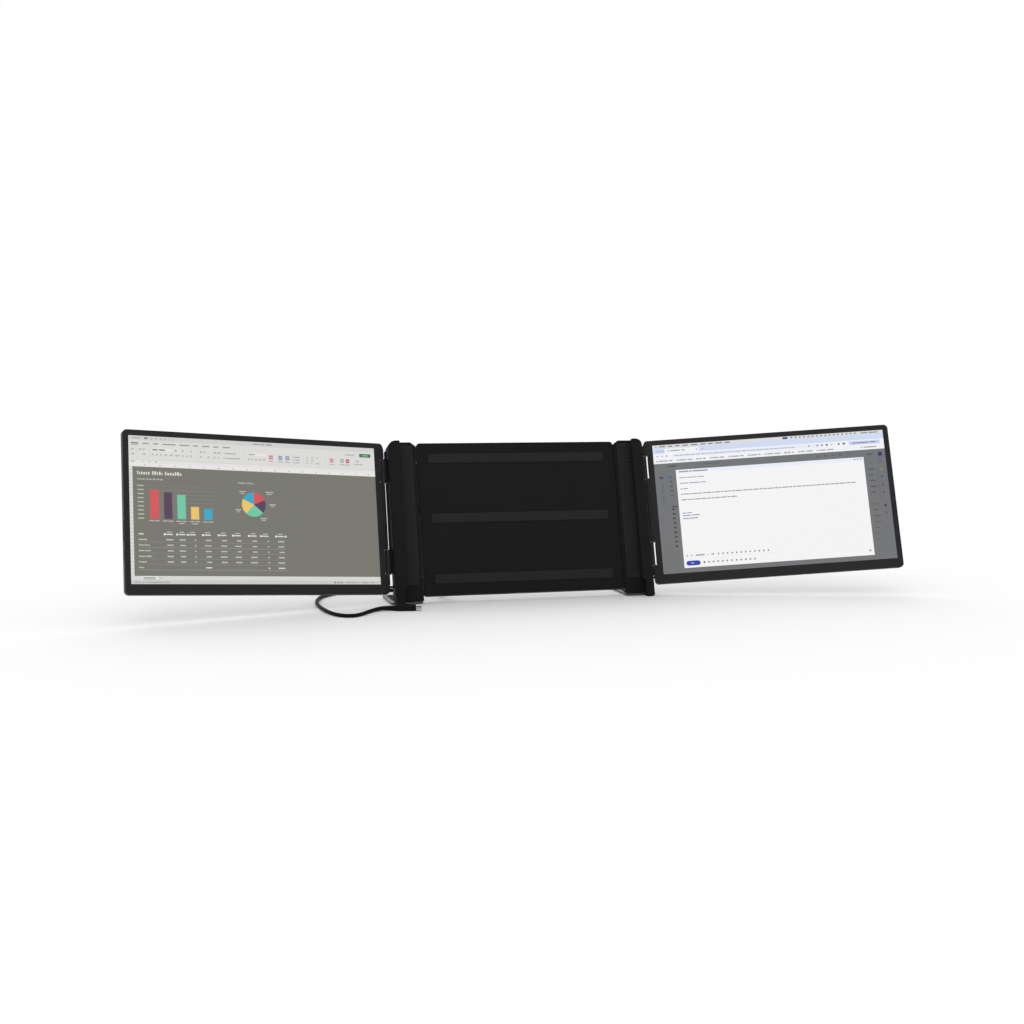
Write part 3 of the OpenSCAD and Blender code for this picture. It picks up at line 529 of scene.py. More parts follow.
def panel_light(name, watts, place_at, aim, width=2.4, height=1.6):
    """A soft rectangular lamp that looks at a point."""
    data = bpy.data.lights.new(name, "AREA")
    data.energy, data.shape, data.size, data.size_y = watts, "RECTANGLE", width, height
    lamp = put(name, data)
    lamp.location = place_at
    lamp.rotation_euler = (Vector(aim) - Vector(place_at)).to_track_quat("-Z", "Y").to_euler()


panel_light("front_panel", 9, (-0.5, -1.9, 2.5), (0, 0, 0.1))
panel_light("overhead_panel", 8, (0.3, 1.3, 2.6), (0, 0.1, 0))
bpy.context.scene.view_settings.view_transform = "Standard"
print("lamps:", len(bpy.data.lights))

# %% [markdown]
# ## Moulded plastics
# The arms and the back unit are injection-moulded ABS with polycarbonate. The tool is spark
# eroded, so the skin comes out of it evenly matt, with a grain of about 0.1 mm. That is far
# finer than a picture can show, even from close by, so the grain is drawn ten times as
# coarse here, at 1.0 to 1.6 mm, and kept shallow. Plastic that flows through a thin wall
# also cools unevenly, which leaves slow, cloudy changes of gloss a few centimetres across.

# %% Moulded and rubbery finishes


def surface(tree, low, high, rough, shade, relief, depth, **shader):
    """Ends a skin: one pattern gives its tint and roughness, another its relief in mm."""
    tint = add(tree, "Mix", {"data_type": "RGBA", 6: linear(low), 7: linear(high)}, {0: shade})
    limits = {"From Min": 0.3, "From Max": 0.7, "To Min": rough[0], "To Max": rough[1]}
    sheen = add(tree, "MapRange", limits, {"Value": shade})
    bump = add(tree, "Bump", {"Strength": 1.0, "Distance": depth / 1000}, {"Height": relief})
    skin = add(tree, "BsdfPrincipled", shader,
               {"Base Color": tint.outputs[2], "Roughness": sheen, "Normal": bump})
    add(tree, "OutputMaterial", {}, {"Surface": skin})


def cloudy(name, low, high, rough, cloud=45, grain=1.6, depth=0.02, gloss=0.5):
    """A dielectric skin: two close colours and two roughnesses in slow clouds, and a grain."""
    material, tree, coordinates = new_material(name)
    clouds = add(tree, "TexNoise", {"Scale": per_mm(cloud), "Detail": 3.0, "Roughness": 0.55},
                 {"Vector": coordinates})
    skin = add(tree, "TexNoise", {"Scale": per_mm(grain), "Detail": 2.0}, {"Vector": coordinates})
    surface(tree, low, high, rough, clouds, skin, depth, **{"Specular IOR Level": gloss})
    return material


FINISH = {
    "housing": cloudy("moulded ABS, spark-eroded", "#18181a", "#1e1e1f", (0.60, 0.72),
                      grain=1.2, depth=0.11, gloss=0.16),
    "screen_case": cloudy("moulded ABS, fine matt", "#19191b", "#1e1e20", (0.44, 0.56),
                          grain=1.1, depth=0.08, gloss=0.35),
    "bezel": cloudy("moulded ABS, satin frame", "#27272a", "#2c2c2e", (0.38, 0.48),
                    grain=1.0, depth=0.035, gloss=0.4),
    "key": cloudy("moulded ABS, polished key", "#242425", "#29292a", (0.26, 0.34),
                  cloud=6, depth=0.006),
    "liner": cloudy("moulded silicone rubber", "#191a1a", "#202021", (0.72, 0.84),
                    cloud=18, depth=0.05),
    "pad": cloudy("moulded EPDM rubber", "#131313", "#181818", (0.78, 0.88),
                  cloud=8, depth=0.03),
    "lead_jacket": cloudy("extruded TPE jacket", "#0e0e0e", "#121212", (0.52, 0.64),
                          cloud=12, grain=2.0, depth=0.012, gloss=0.1),
    "plug_body": cloudy("overmoulded TPE", "#121212", "#171717", (0.56, 0.66),
                        cloud=9, depth=0.015, gloss=0.14),
    "guide": cloudy("moulded acetal", "#a2a2a0", "#acaca9", (0.36, 0.46), cloud=10, depth=0.006),
    "circuit_board": cloudy("circuit board, solder mask", "#17492c", "#22603b", (0.26, 0.36),
                            cloud=4, depth=0.02),
}
FINISH["display_glass"] = FINISH["bezel"]
print("plastics and rubbers ready")

# %% [markdown]
# ## Metals
# The hinge barrels are steel under a satin powder coat, whose skin has a soft orange peel.
# The guide rods are ground between wheels, so their fine scratches run round them; bracket,
# pins and spring strip are plain cold-rolled steel with scratches along the strip. A
# scratch pattern is noise that is stretched a lot along one direction. The foot plates are
# aluminium, brushed and anodised dark grey, and the screws are blackened zinc plate.

# %% Metal finishes
SCRATCH = 0.004


def streaky(name, low, high, rough, stretch=(1, 1, 1), grain=0.8):
    """A metal skin: noise drawn out along one axis for tint, roughness and bump."""
    material, tree, coordinates = new_material(name)
    drawn = add(tree, "Mapping", {"Scale": stretch}, {"Vector": coordinates})
    lines = add(tree, "TexNoise", {"Scale": per_mm(grain), "Detail": 3.0, "Roughness": 0.6},
                {"Vector": drawn})
    surface(tree, low, high, rough, lines, lines, SCRATCH, Metallic=1.0)
    return material


FINISH |= {
    "hinge_barrel": cloudy("powder-coated steel", "#2b2b2c", "#313132", (0.44, 0.54),
                           cloud=8, grain=1.4, depth=0.05, gloss=0.35),
    "rod_steel": streaky("ground steel", "#c2c4c7", "#d2d4d6", (0.14, 0.24), (1, 0.08, 0.08)),
    "bracket_steel": streaky("cold-rolled steel", "#8e9195", "#a2a5a9", (0.28, 0.42),
                             (1, 1, 0.06)),
    "pin_steel": streaky("turned steel", "#a0a2a6", "#b4b6ba", (0.22, 0.34), (0.1, 0.1, 1)),
    "backlight_tray": streaky("pressed aluminium", "#c4c6c9", "#d2d4d6", (0.30, 0.42),
                              (0.05, 1, 1)),
    "foot_metal": streaky("dark anodised aluminium", "#626366", "#747578", (0.34, 0.48),
                          (0.04, 1, 1)),
    "screw": streaky("black zinc plate", "#2c2c2e", "#3a3a3d", (0.34, 0.46), grain=1.0),
    "plated_shell": streaky("nickel plate", "#c3c5c8", "#d3d4d6", (0.16, 0.26), grain=1.2),
}
FINISH["spring_steel"] = FINISH["bracket_steel"]
gilt = streaky("gilt contact", "#c9a24a", "#dcb860", (0.22, 0.32), grain=0.6)
print("metals ready")

# %% [markdown]
# ## Which finish goes where
# Every CAD node that stays in sight takes the finish of its material slot in the record.

# %% Finishes on the CAD nodes
slot_of = {}
for name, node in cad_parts.items():
    slot_of[name] = node.data.materials[0].name.split(".")[0]
    for holder in node.material_slots:
        holder.material = FINISH[slot_of[name]]
lead.data.materials.append(FINISH["lead_jacket"])
for piece in (plug_body, plug_sleeve):
    piece.data.materials.append(FINISH["plug_body"])
plug_tip.data.materials.append(FINISH["plated_shell"])
contacts.data.materials.append(gilt)
print("finishes given to", len(slot_of), "nodes")

# %% [markdown]
# ## Softened edges
# No moulded or pressed edge is perfectly sharp, and the thin line of light along an edge is
# what tells the eye that a dark object is solid. The CAD meshes are left as they are; three
# modifiers on top weld their triangles, merge the flat ones back to whole faces and round
# the sharp edges by a few tenths of a millimetre.

# %% Edge rounding
EDGE_RADIUS = {
    "housing": 0.45, "screen_case": 0.35, "bezel": 0.30, "key": 0.2, "liner": 0.15, "pad": 0.2,
    "guide": 0.2, "hinge_barrel": 0.3, "foot_metal": 0.25, "bracket_steel": 0.1,
    "spring_steel": 0.1, "plated_shell": 0.05, "lead_jacket": 0.15,
}
softened = 0
for name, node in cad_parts.items():
    radius = EDGE_RADIUS.get(slot_of[name])
    if radius is None or node.hide_render:
        continue
    weld = node.modifiers.new("weld", "WELD")
    weld.merge_threshold = 1e-6
    flatten = node.modifiers.new("flatten", "DECIMATE")
    flatten.decimate_type, flatten.angle_limit = "DISSOLVE", 0.01
    soften = node.modifiers.new("soften", "BEVEL")
    soften.width, soften.segments, soften.limit_method = radius / 1000, 2, "ANGLE"
    soften.angle_limit, soften.harden_normals = 0.6, True
    softened += 1
print("edges softened on", softened, "nodes")

# %% [markdown]
# ## The displays
# A display's picture is light that comes through the panel, so its colours are given off and
# not reflected: each ink is an emission over an almost black, slightly hazy front film.

# %% Inks
PANEL_W, PANEL_H, PANEL_T, UNDER_FRAME = 309.4, 174.0, 1.8, 2.0


def ink(colour):
    """Light of one colour through the anti-glare film of a panel."""
    material, tree, coordinates = new_material("lit panel " + colour[1:])
    haze = add(tree, "TexNoise", {"Scale": per_mm(30), "Detail": 4.0}, {"Vector": coordinates})
    limits = {"From Min": 0.3, "From Max": 0.7, "To Min": 0.38, "To Max": 0.46}
    film = add(tree, "MapRange", limits, {"Value": haze})
    etch = add(tree, "TexNoise", {"Scale": per_mm(1.0), "Detail": 1.0}, {"Vector": coordinates})
    bump = add(tree, "Bump", {"Strength": 1.0, "Distance": 4e-6}, {"Height": etch})
    skin = add(tree, "BsdfPrincipled",
               {"Base Color": linear("#0c0c0d"), "Emission Color": linear(colour),
                "Emission Strength": 1.0, "Specular IOR Level": 0.3},
               {"Roughness": film, "Normal": bump})
    add(tree, "OutputMaterial", {}, {"Surface": skin})
    return material


print("picture area", PANEL_W, "x", PANEL_H, "mm")

# %% [markdown]
# The pictures are made up: a sheet of figures with a bar chart and a pie chart, and a letter
# in a window. Each picture is a list of rectangles, painted one over another like paper
# cut-outs. Words are plain dashes in rows, and large words are rows of upright blocks.

# %% Words without letters
WORD_HEIGHT = 1.4


def words(sheet, x, y, widths, colour, height=WORD_HEIGHT, gap=1.6):
    """A row of dashes that stand for words; returns where it ends."""
    for width in widths:
        sheet.append((x, y, x + width, y + height, colour))
        x += width + gap
    return x


def line_of_words(sheet, x, y, end, colour, chance):
    """Fills a line with words of uneven length."""
    while x < end - 3:
        width = min(chance.uniform(2.4, 8.5), end - x)
        words(sheet, x, y, [width], colour, 1.3)
        x += width + 1.0


def heading(sheet, x, y, counts, height, colour, chance):
    """Large words as upright blocks, tall and short by chance."""
    for count in counts:
        for i in range(count):
            tall = height * (1.0 if i == 0 else chance.choice([0.68, 0.68, 0.74, 1.0]))
            wide = height * chance.choice([0.3, 0.42, 0.5])
            sheet.append((x, y, x + wide, y + tall, colour))
            x += wide + 0.24 * height
        x += 0.45 * height


print("a word is", WORD_HEIGHT, "mm high")

# %% [markdown]
# The left picture is a sheet of figures. Round it are a pale ribbon with rows of small
# tools, the column heads, and two pale bars below. The large fields come first.

# %% Left picture: the bars and their tools
RIBBON, TITLE_BAR, HEADS, TOOL, STRONG = "#dbdad8", "#d0d0cf", "#e8e6e3", "#adadac", "#77777a"
MARKED = "#5d8f68"
chance = random.Random(5)
left_sheet = [
    (-9, -9, 400, 400, "#787870"), (0, 9.6, 4.2, 137.2, "#dddcd9"),
    *((0, low, PANEL_W, high, colour) for low, high, colour in (
        (137.2, PANEL_H, RIBBON), (168.6, PANEL_H, TITLE_BAR), (141.6, 145.4, "#e2e1df"),
        (145.4, 145.8, "#c6c5c3"), (137.2, 141.6, HEADS), (137.2, 137.6, "#b5b5ae"),
        (4.7, 9.6, "#d6d5d3"), (0, 4.7, "#c9c9c8"))),
    (12, 5.2, 31, 9.6, "#e2e2e0"), (3, 162.6, 11.5, 163.1, MARKED), (14, 5.4, 29, 5.8, MARKED),
    (289, 161.6, 304.5, 166.2, "#3f7f4f"), (293, 163.4, 300.5, 164.5, "#a9c9ae"),
]
for first, count in ((3.5, 1), (12, 2), (58, 2), (68, 2), (84, 3), (101, 2)):
    for y in (157.2, 151.4):
        for i in range(count):
            if chance.random() < 0.9:
                words(left_sheet, first + 4.6 * i, y, [chance.uniform(1.6, 3.2)], TOOL, 1.8)
left_sheet += [(x, 156.4, end, 160, "#e6e5e3") for x, end in ((27, 50), (53, 60), (143, 166))]
left_sheet += [(x, 148.4, x + 0.4, 160.6, "#cac9c7")
               for x in (9.5, 24.5, 81, 110, 139, 196, 214, 243, 256)]
for x, colour in ((170, "#cc7f88"), (182, "#8797b4"), (191, "#8797b4"), (249, "#d3868a"),
                  (263, "#9db2a4"), (270.5, "#c9606a")):
    left_sheet += [(x, 153.2, x + 4.6, 158.4, colour), (x + 1.4, 154.8, x + 3.2, 156.6, "#c9c6c6")]
    words(left_sheet, x - 1.2, 150.2, [6.6], TOOL, 1.2)
print("left picture, fields and tools:", len(left_sheet), "shapes")

# %% [markdown]
# Over the fields go the rows of words. A row has its start, its height on the panel, the
# widths of its words and its colour, and where needed the words' height and gap.

# %% Left picture: the words in the bars
for row in (
    (4, 170.6, [10], TOOL, 1.6), (18.6, 170.4, [4], STRONG, 2), (3, 164.4, [8.5], STRONG, 1.6),
    (26, 170.5, [2, 2, 2, 2, 1, 1], TOOL, 1.8, 3.4), (150, 170.5, [8, 5, 8], "#a0a09f", 1.5),
    (16.5, 164.4, [7.5, 6, 15.5, 11.5, 6, 9, 6.5, 9.5], "#9b9b9b", 1.6, 4.8),
    (28, 157.4, [6, 7], STRONG, 1.6), (54, 157.4, [2.6], STRONG, 1.6),
    (144, 157.4, [8], TOOL, 1.6), (27, 151.4, [1.6, 1.6, 1.6, 3, 3, 2.4], TOOL, 1.8, 3.4),
    (113, 157.2, [2, 12], TOOL, 1.4, 1.2), (113, 151.4, [2, 17], TOOL, 1.4, 1.2),
    (143, 151.4, [2.4, 2, 2.4, 2.8, 2.8], TOOL, 1.8, 2.4), (281, 151.6, [12], TOOL, 1.2),
    (284, 154.6, [4], "#c0bfbe", 3), (270, 163.2, [12], TOOL), (3, 142.8, [4], TOOL),
    (16, 142.8, [1.4, 1.4, 2.4], TOOL, 1.4, 6), (14, 6.6, [14], "#7f9282", 1.5),
    (34, 6.6, [1.6], TOOL), (4, 1.6, [7, 3, 28], "#aaaaaa", 1.3),
    (247, 1.4, [2.6, 2.6, 2.6], "#8f8f90", 2, 2), (262, 1.8, [16, 1.8, 9, 6], "#a5a5a5", 1.2, 2.2),
):
    words(left_sheet, *row)
for y, marks in ((156.8, [2, 2.6, 2]), (153.4, [1.6, 3.2]), (150, [2, 1.6, 4.6])):
    words(left_sheet, 200, y, [1.8, 6.4], TOOL, 1.3, 1)
    words(left_sheet, 218, y, marks, TOOL, 1.4, 4.4)
left_sheet += [(x, 138.8, x + 1.4, 140.2, "#a6a6a2") for x in np.arange(18, 300, 17.6).tolist()]
left_sheet += [(1.4, y, 3, y + 1.1, "#b2b2ae") for y in np.arange(12.6, 134, 4.3).tolist()]
print("left picture, bars:", len(left_sheet), "shapes")

# %% [markdown]
# The sheet itself is a dull olive field with two headings, a bar chart on faint rules, the
# labels round the pie chart, and a ruled table with a sign at the head of each column.

# %% Left picture: the figures
CHALK, GREY_CHALK, FAINT = "#dcdcd2", "#b9b9af", "#92928a"
CHART_X, CHART_Y, CHART_STEP = 21.5, 76.6, 4.8
BARS = (("#d4595c", 34), ("#5c4560", 31.5), ("#74c6a5", 29), ("#eac46b", 15),
        ("#3aa9c9", 13.2))
heading(left_sheet, 9.5, 128.2, (6, 5, 7), 4.2, CHALK, chance)
heading(left_sheet, 9.5, 122, (7, 6, 3, 5), 2, "#c6c6bc", chance)
for i in range(9):
    y = CHART_Y + CHART_STEP * i
    left_sheet.append((CHART_X, y, CHART_X + 78, y + 0.3, FAINT))
    words(left_sheet, 9.5, y - 0.5, [7.4], GREY_CHALK, 1.3)
for i, (colour, tall) in enumerate(BARS):
    x = CHART_X + 2.6 + 15.8 * i
    left_sheet.append((x, CHART_Y, x + 9.8, CHART_Y + tall, colour))
    words(left_sheet, x - 1.6, 73.4, [5.5, 5.6], GREY_CHALK, 1.2, 0.9)
    if i in (2, 3):
        words(left_sheet, x + 1.4, 70.8, [6.6], GREY_CHALK, 1.2)
heading(left_sheet, 129.5, 121.6, (7, 3, 6), 1.9, "#c8c8be", chance)
for x, y, width in ((163.5, 111.5, 10), (168, 96.5, 8), (156, 79, 8.5), (125.5, 89, 7),
                    (131, 111.5, 8)):
    words(left_sheet, x, y, [width], GREY_CHALK, 1.3)
    words(left_sheet, x + 1.6, y - 2.2, [width - 3.4], GREY_CHALK, 1.1)

COLUMNS = (50, 64.5, 77, 95, 114, 131.5, 151, 166, 185)
for x in COLUMNS:
    words(left_sheet, x - 7.4, 60.4, [5.8], GREY_CHALK, 1.2)
    words(left_sheet, x - 8.2, 57.6, [7.6], CHALK)
words(left_sheet, 10, 57.6, [5.5], CHALK)
for i, name in enumerate(((9,), (6, 5), (5, 7), (8, 6), (8,), (5,))):
    y = 51.2 - 6.5 * i
    left_sheet.append((9.5, y - 2.3, 187, y - 2, "#9f9f96"))
    heading(left_sheet, 10, y, name, 1.6, CHALK, chance)
    for k, x in enumerate(COLUMNS):
        if i < 5 or k in (3, 7, 8):
            width = chance.uniform(5, 8.6) if k not in (2, 7) else 2.0
            left_sheet.append((x - width, y, x, y + 1.5, CHALK if i == 5 else "#bebeb4"))
left_discs = [(x - 10, 58.3, 1.3, "#e6e6de") for x in (*COLUMNS, 197)]
print("left picture:", len(left_sheet), "shapes")

# %% [markdown]
# The right picture is a letter being written. At the top are a row of tabs, an address bar
# and a row of bookmarks, all pale, and below them is a grey page with small tools down both
# of its sides.

# %% Right picture: the bars and the page behind
LILAC, PEARL, PRINT, DIM, PALE = "#cfdaf2", "#f0f1f5", "#97999e", "#5a5b5f", "#a9acb8"
chance = random.Random(11)
right_sheet = [
    (-9, -9, 400, 400, "#737476"), (0, 148.6, PANEL_W, PANEL_H, PEARL),
    (0, 169.8, PANEL_W, PANEL_H, "#dcdcdd"), (0, 162.4, PANEL_W, 169.8, LILAC),
    (16, 162.4, 62, 168.6, PEARL), (26, 156.4, 226, 160.8, "#e7eaf4"),
    (263, 156.2, 304, 161, "#c3cfec"), (58, 164.6, 59.4, 166, DIM),
    (66, 164.4, 67.4, 165.8, "#7c84a6"), (6, 127.6, 11, 131, "#4d5068"),
    (18, 128, 22, 131.2, "#49688c"), (296.6, 80, 297.3, 124, "#5f6064"),
]
for row in (
    (4, 171, [1.8, 8, 6, 6, 8, 9, 7, 6, 9, 7], "#6d6e72", 1.4, 3.6),
    (175, 170.6, [6.5], "#34307c", 2.6), (186, 171, [2] * 16, "#66676c", 1.7, 3.7),
    (280, 171, [9, 12], "#808186", 1.5), (5, 164.6, [2.2, 2.2, 2.2], "#a3abc4", 1.9, 1.7),
    (20, 164.8, [2.2, 13, 5], "#a5a7ac", 1.5), (5, 157.8, [1.8, 1.8, 2.2], "#a5a7ac", 1.7, 4.2),
    (208, 157.6, [2.4], PALE, 2.2), (248, 157.6, [2.2, 3.4], "#5c6078", 2.4, 4),
    (267, 157.9, [22, 8], "#6a7cae"), (278, 151.3, [2.2, 17], "#a3a5aa"),
    (18, 143.6, [3, 5], "#55564e", 2.2, 1.2), (26, 143.6, [4], DIM, 2.2),
    (66, 143.8, [22], "#66676a", 1.8), (218, 142.8, [2.4] * 4, DIM, 2.2, 7.6),
    (284, 141, [9], DIM, 2.2), (19, 88.5, [8], "#505155", 1.8),
):
    words(right_sheet, *row)
for i, colour in enumerate((PALE, "#8e96b6", "#4a4c55", "#c9c2c6")):
    right_sheet.append((219 + 6.4 * i, 157.6, 221.6 + 6.4 * i, 160, colour))
print("right picture, bars:", len(right_sheet), "shapes")

# %% [markdown]
# The address, the bookmarks and the names down the page are of uneven length, as words are,
# so they are drawn by chance from one seed.

# %% Right picture: the rows drawn by chance
line_of_words(right_sheet, 29, 157.9, 190, "#a9adbb", chance)
x = 4.0
while x < 240:
    colour = chance.choice(["#cf9c96", "#8aa58d", "#8f9ac2", "#777a80"])
    right_sheet.append((x, 151, x + 2.1, 153, colour))
    widths = [chance.uniform(4, 14), chance.uniform(3, 9)]
    x = words(right_sheet, x + 3.2, 151.3, widths, "#a3a5aa") + 4
for y in (117, 109.5, 102, 94.5):
    right_sheet.append((7.6, y, 11, y + 2.6, "#66676b"))
    words(right_sheet, 6.6, y - 2.8, [5.8], "#67686b", 1.1)
for i in range(15):
    if i not in (4, 5):
        y = 122 - 6.2 * i
        right_sheet.append((19.4, y, 22.6, y + 2.3, "#585a5f" if i < 4 else "#3f4145"))
for i in range(13):
    if i != 5:
        colour = "#505157" if i < 5 else "#5f6064"
        words(right_sheet, 285, 121 - 7.9 * i, [chance.uniform(5, 10)], colour)
for y, colour in ((130, "#5c5f86"), (119.5, "#8a8a52"), (109, "#4f5688"), (98, "#58606a"),
                  (88, "#5d6165"), (70, "#3f4145"), (60, "#606266")):
    right_sheet.append((300.2, y, 303.4, y + 3, colour))
print("right picture, bars and page:", len(right_sheet), "shapes")

# %% [markdown]
# In front of the page is a large white window with a title bar, a few lines of words, two
# rows of small tools and one blue button with round ends.

# %% Right picture: the letter
WINDOW_X, WINDOW_Y, WINDOW_END, WINDOW_TOP = 28.4, 6.4, 280, 138.8
TEXT_X, BUTTON_X, BUTTON_END, BUTTON_Y, BUTTON_R = 32.4, 34.4, 47, 12.4, 3.1
BLUE, TOOL_GREY = "#3446ac", "#85888e"
right_sheet += [
    (WINDOW_X, WINDOW_Y, WINDOW_END, WINDOW_TOP, "#f3f3f4"),
    (WINDOW_X, 133.8, WINDOW_END, WINDOW_TOP, "#e9edf8"),
    (TEXT_X, 71, TEXT_X + 20, 71.3, "#a9acd0"), (31, 18.6, 158, 18.9, "#d3d4d7"),
    (BUTTON_X, BUTTON_Y - BUTTON_R, BUTTON_END, BUTTON_Y + BUTTON_R, BLUE),
    (36, 11.7, 41.8, 13.1, "#98a4d8"), (273.6, 11.4, 276, 14, "#8a8c92"),
]
for row in (
    (TEXT_X, 135.2, [13, 3, 20], "#8b8ea3", 1.6, 1.2), (267, 135.4, [1.7] * 3, "#858896", 1.7, 2.4),
    (TEXT_X, 127.2, [9, 13, 9], "#a79fa4", 1.3, 0.9),
    (TEXT_X, 119.6, [11, 15, 7], "#979ab0", 1.3, 0.9), (TEXT_X, 112, [3, 6], PRINT, 1.3, 0.9),
    (TEXT_X, 79.2, [5, 6.5], PRINT, 1.3, 0.9), (TEXT_X, 75.8, [11, 10.5], "#9a9cb0", 1.3, 0.9),
    (TEXT_X, 72, [20], "#8f93c0", 1.3), (54, 11.4, [2.2], "#3c4378", 2.4),
    (60, 11.4, [2.2] * 11, TOOL_GREY, 2.2, 3.9),
):
    words(right_sheet, *row)
for y, end in ((104.6, 268), (97, 108)):
    line_of_words(right_sheet, TEXT_X, y, end, PRINT, chance)
x = words(right_sheet, TEXT_X, 21.6, [2, 2, 12, 1, 3.4], "#9c9ea3", 1.8, 4)
words(right_sheet, x + 1, 21.6, [2] * 12, "#85878c", 2, 4)
right_discs = [(302.4, 141.6, 3.1, "#3a3c72"), (BUTTON_X, BUTTON_Y, BUTTON_R, BLUE),
               (BUTTON_END, BUTTON_Y, BUTTON_R, BLUE)]
print("right picture:", len(right_sheet), "shapes")

# %% [markdown]
# The panel itself is a glass sandwich 1.8 mm thick that reaches a little under the frame.
# Its front is cut up by its own picture: there is a grid line at every edge of every
# rectangle, and each cell takes the ink of the topmost rectangle.

# %% Cutting the front up


def painted(sheet):
    """The grid lines in x and y, the inks used, and the ink of every cell."""
    low, wide, tall = -UNDER_FRAME, PANEL_W + UNDER_FRAME, PANEL_H + UNDER_FRAME

    def to_line(value, far, end):
        """Snaps to 0.2 mm; what touches the frame runs on under it."""
        return low if value <= 0 else end if value >= far else round(value * 5) / 5

    boxes = [[to_line(v, *((PANEL_W, wide), (PANEL_H, tall))[i % 2]) for i, v in enumerate(s[:4])]
             for s in sheet]
    xs = np.array(sorted({v for b in boxes for v in (b[0], b[2])}))
    ys = np.array(sorted({v for b in boxes for v in (b[1], b[3])}))
    inks = sorted({s[4] for s in sheet})
    cells = np.zeros((len(ys) - 1, len(xs) - 1), int)
    for (x0, y0, x1, y1), shape in zip(boxes, sheet):
        cells[np.searchsorted(ys, y0):np.searchsorted(ys, y1),
              np.searchsorted(xs, x0):np.searchsorted(xs, x1)] = inks.index(shape[4])
    return xs, ys, inks, cells


print("cells of the left picture:", painted(left_sheet)[3].size)

# %% [markdown]
# Cells of one ink that lie side by side in a row become one face. All faces share their
# corners, so the front stays one sheet. Then its rim is extruded back and closed. Round
# marks can't come from a grid, so they are thin discs set into the front.

# %% Panels


def panel(name, sheet, where):
    """A display panel with its picture on the front, drawn in x and y and facing +z."""
    xs, ys, inks, cells = painted(sheet)
    ends = [[0, *(np.flatnonzero(np.diff(row)) + 1), len(row)] for row in cells]
    lines = [sorted({*below, *above}) for below, above in zip([[]] + ends, ends + [[]])]
    shape = bmesh.new()
    spots = [{i: shape.verts.new((xs[i], y, 0)) for i in line} for line, y in zip(lines, ys)]
    for k, row in enumerate(ends):
        for a, b in zip(row, row[1:]):
            low = [spots[k][i] for i in lines[k] if a <= i <= b]
            high = [spots[k + 1][i] for i in lines[k + 1][::-1] if a <= i <= b]
            shape.faces.new(low + high).material_index = int(cells[k][a])
    data = bpy.data.meshes.new(name)
    shape.to_mesh(data)
    shape.free()
    piece = put(name, data)
    for colour in inks:
        data.materials.append(lit[colour])
    data.materials.append(FINISH["screen_case"])
    only(piece)
    bpy.ops.object.mode_set(mode="EDIT")
    pick("edges", lambda e: e.is_boundary)
    pull(z=-PANEL_T)
    bpy.ops.mesh.edge_face_add()
    pick("faces", lambda f: any(v.co.z < -0.01 for v in f.verts))
    bpy.ops.mesh.dissolve_limited(angle_limit=0.01)
    piece.active_material_index = len(inks)
    bpy.ops.object.material_slot_assign()
    return place(piece, where, smooth=10)


def disc(x, y, radius, colour, where, sides=16):
    """A thin round mark set into the front of a panel."""
    piece = start("disc", "cylinder", vertices=sides, radius=radius, depth=0.4,
                  end_fill_type="TRIFAN", location=(x, y, -0.16))
    bpy.ops.object.mode_set(mode="OBJECT")
    piece.data.materials.append(lit[colour])
    return place(piece, where, smooth=10)


FRONT = Matrix.Translation((11.9, 1.25, 12.5)) @ Matrix.Rotation(math.radians(90), 4, "X")
FLIP = Matrix.Translation((PANEL_W, 0, 0)) @ MIRROR
PANELS = {"right": SCREEN @ FRONT, "left": MIRROR @ SCREEN @ FRONT @ FLIP}
SHEETS = {"left": (left_sheet, left_discs), "right": (right_sheet, right_discs)}
lit = {c: ink(c) for c in sorted({s[-1] for sheets in SHEETS.values() for s in sum(sheets, [])})}
print("inks:", len(lit))
for side, (sheet, discs) in SHEETS.items():
    where = PANELS[side]
    shown_panel = panel(f"{side}_picture_panel", sheet, where)
    shown_panel = join(f"{side}_picture_panel", [shown_panel, *(disc(*d, where) for d in discs)])
    belongs(shown_panel, f"{side}_screen", "display_glass", f"{side}_display")

# %% [markdown]
# The pie chart is one thin disc whose cap is a fan of triangles. Each triangle takes the ink
# of the slice that it falls in, going round from the top. The slices have the colours of the
# bar chart.

# %% Pie chart
PIE_X, PIE_Y, PIE_R = 148.5, 96.6, 14.8
SLICES = (0.19, 0.17, 0.25, 0.21, 0.18)
pie = disc(PIE_X, PIE_Y, PIE_R, BARS[0][0], PANELS["left"], sides=96)
for colour, tall in BARS[1:]:
    pie.data.materials.append(lit[colour])
to_sheet = (MM @ PANELS["left"]).inverted()
bounds = np.cumsum(SLICES)
for face in pie.data.polygons:
    spot = to_sheet @ face.center
    turn = math.atan2(spot.x - PIE_X, spot.y - PIE_Y) / (2 * math.pi) % 1
    face.material_index = int(np.searchsorted(bounds, turn))
left_panel = join("left_picture_panel", [bpy.data.objects["left_picture_panel"], pie])
print(left_panel.name, "with its pie chart:", len(left_panel.data.polygons), "faces")
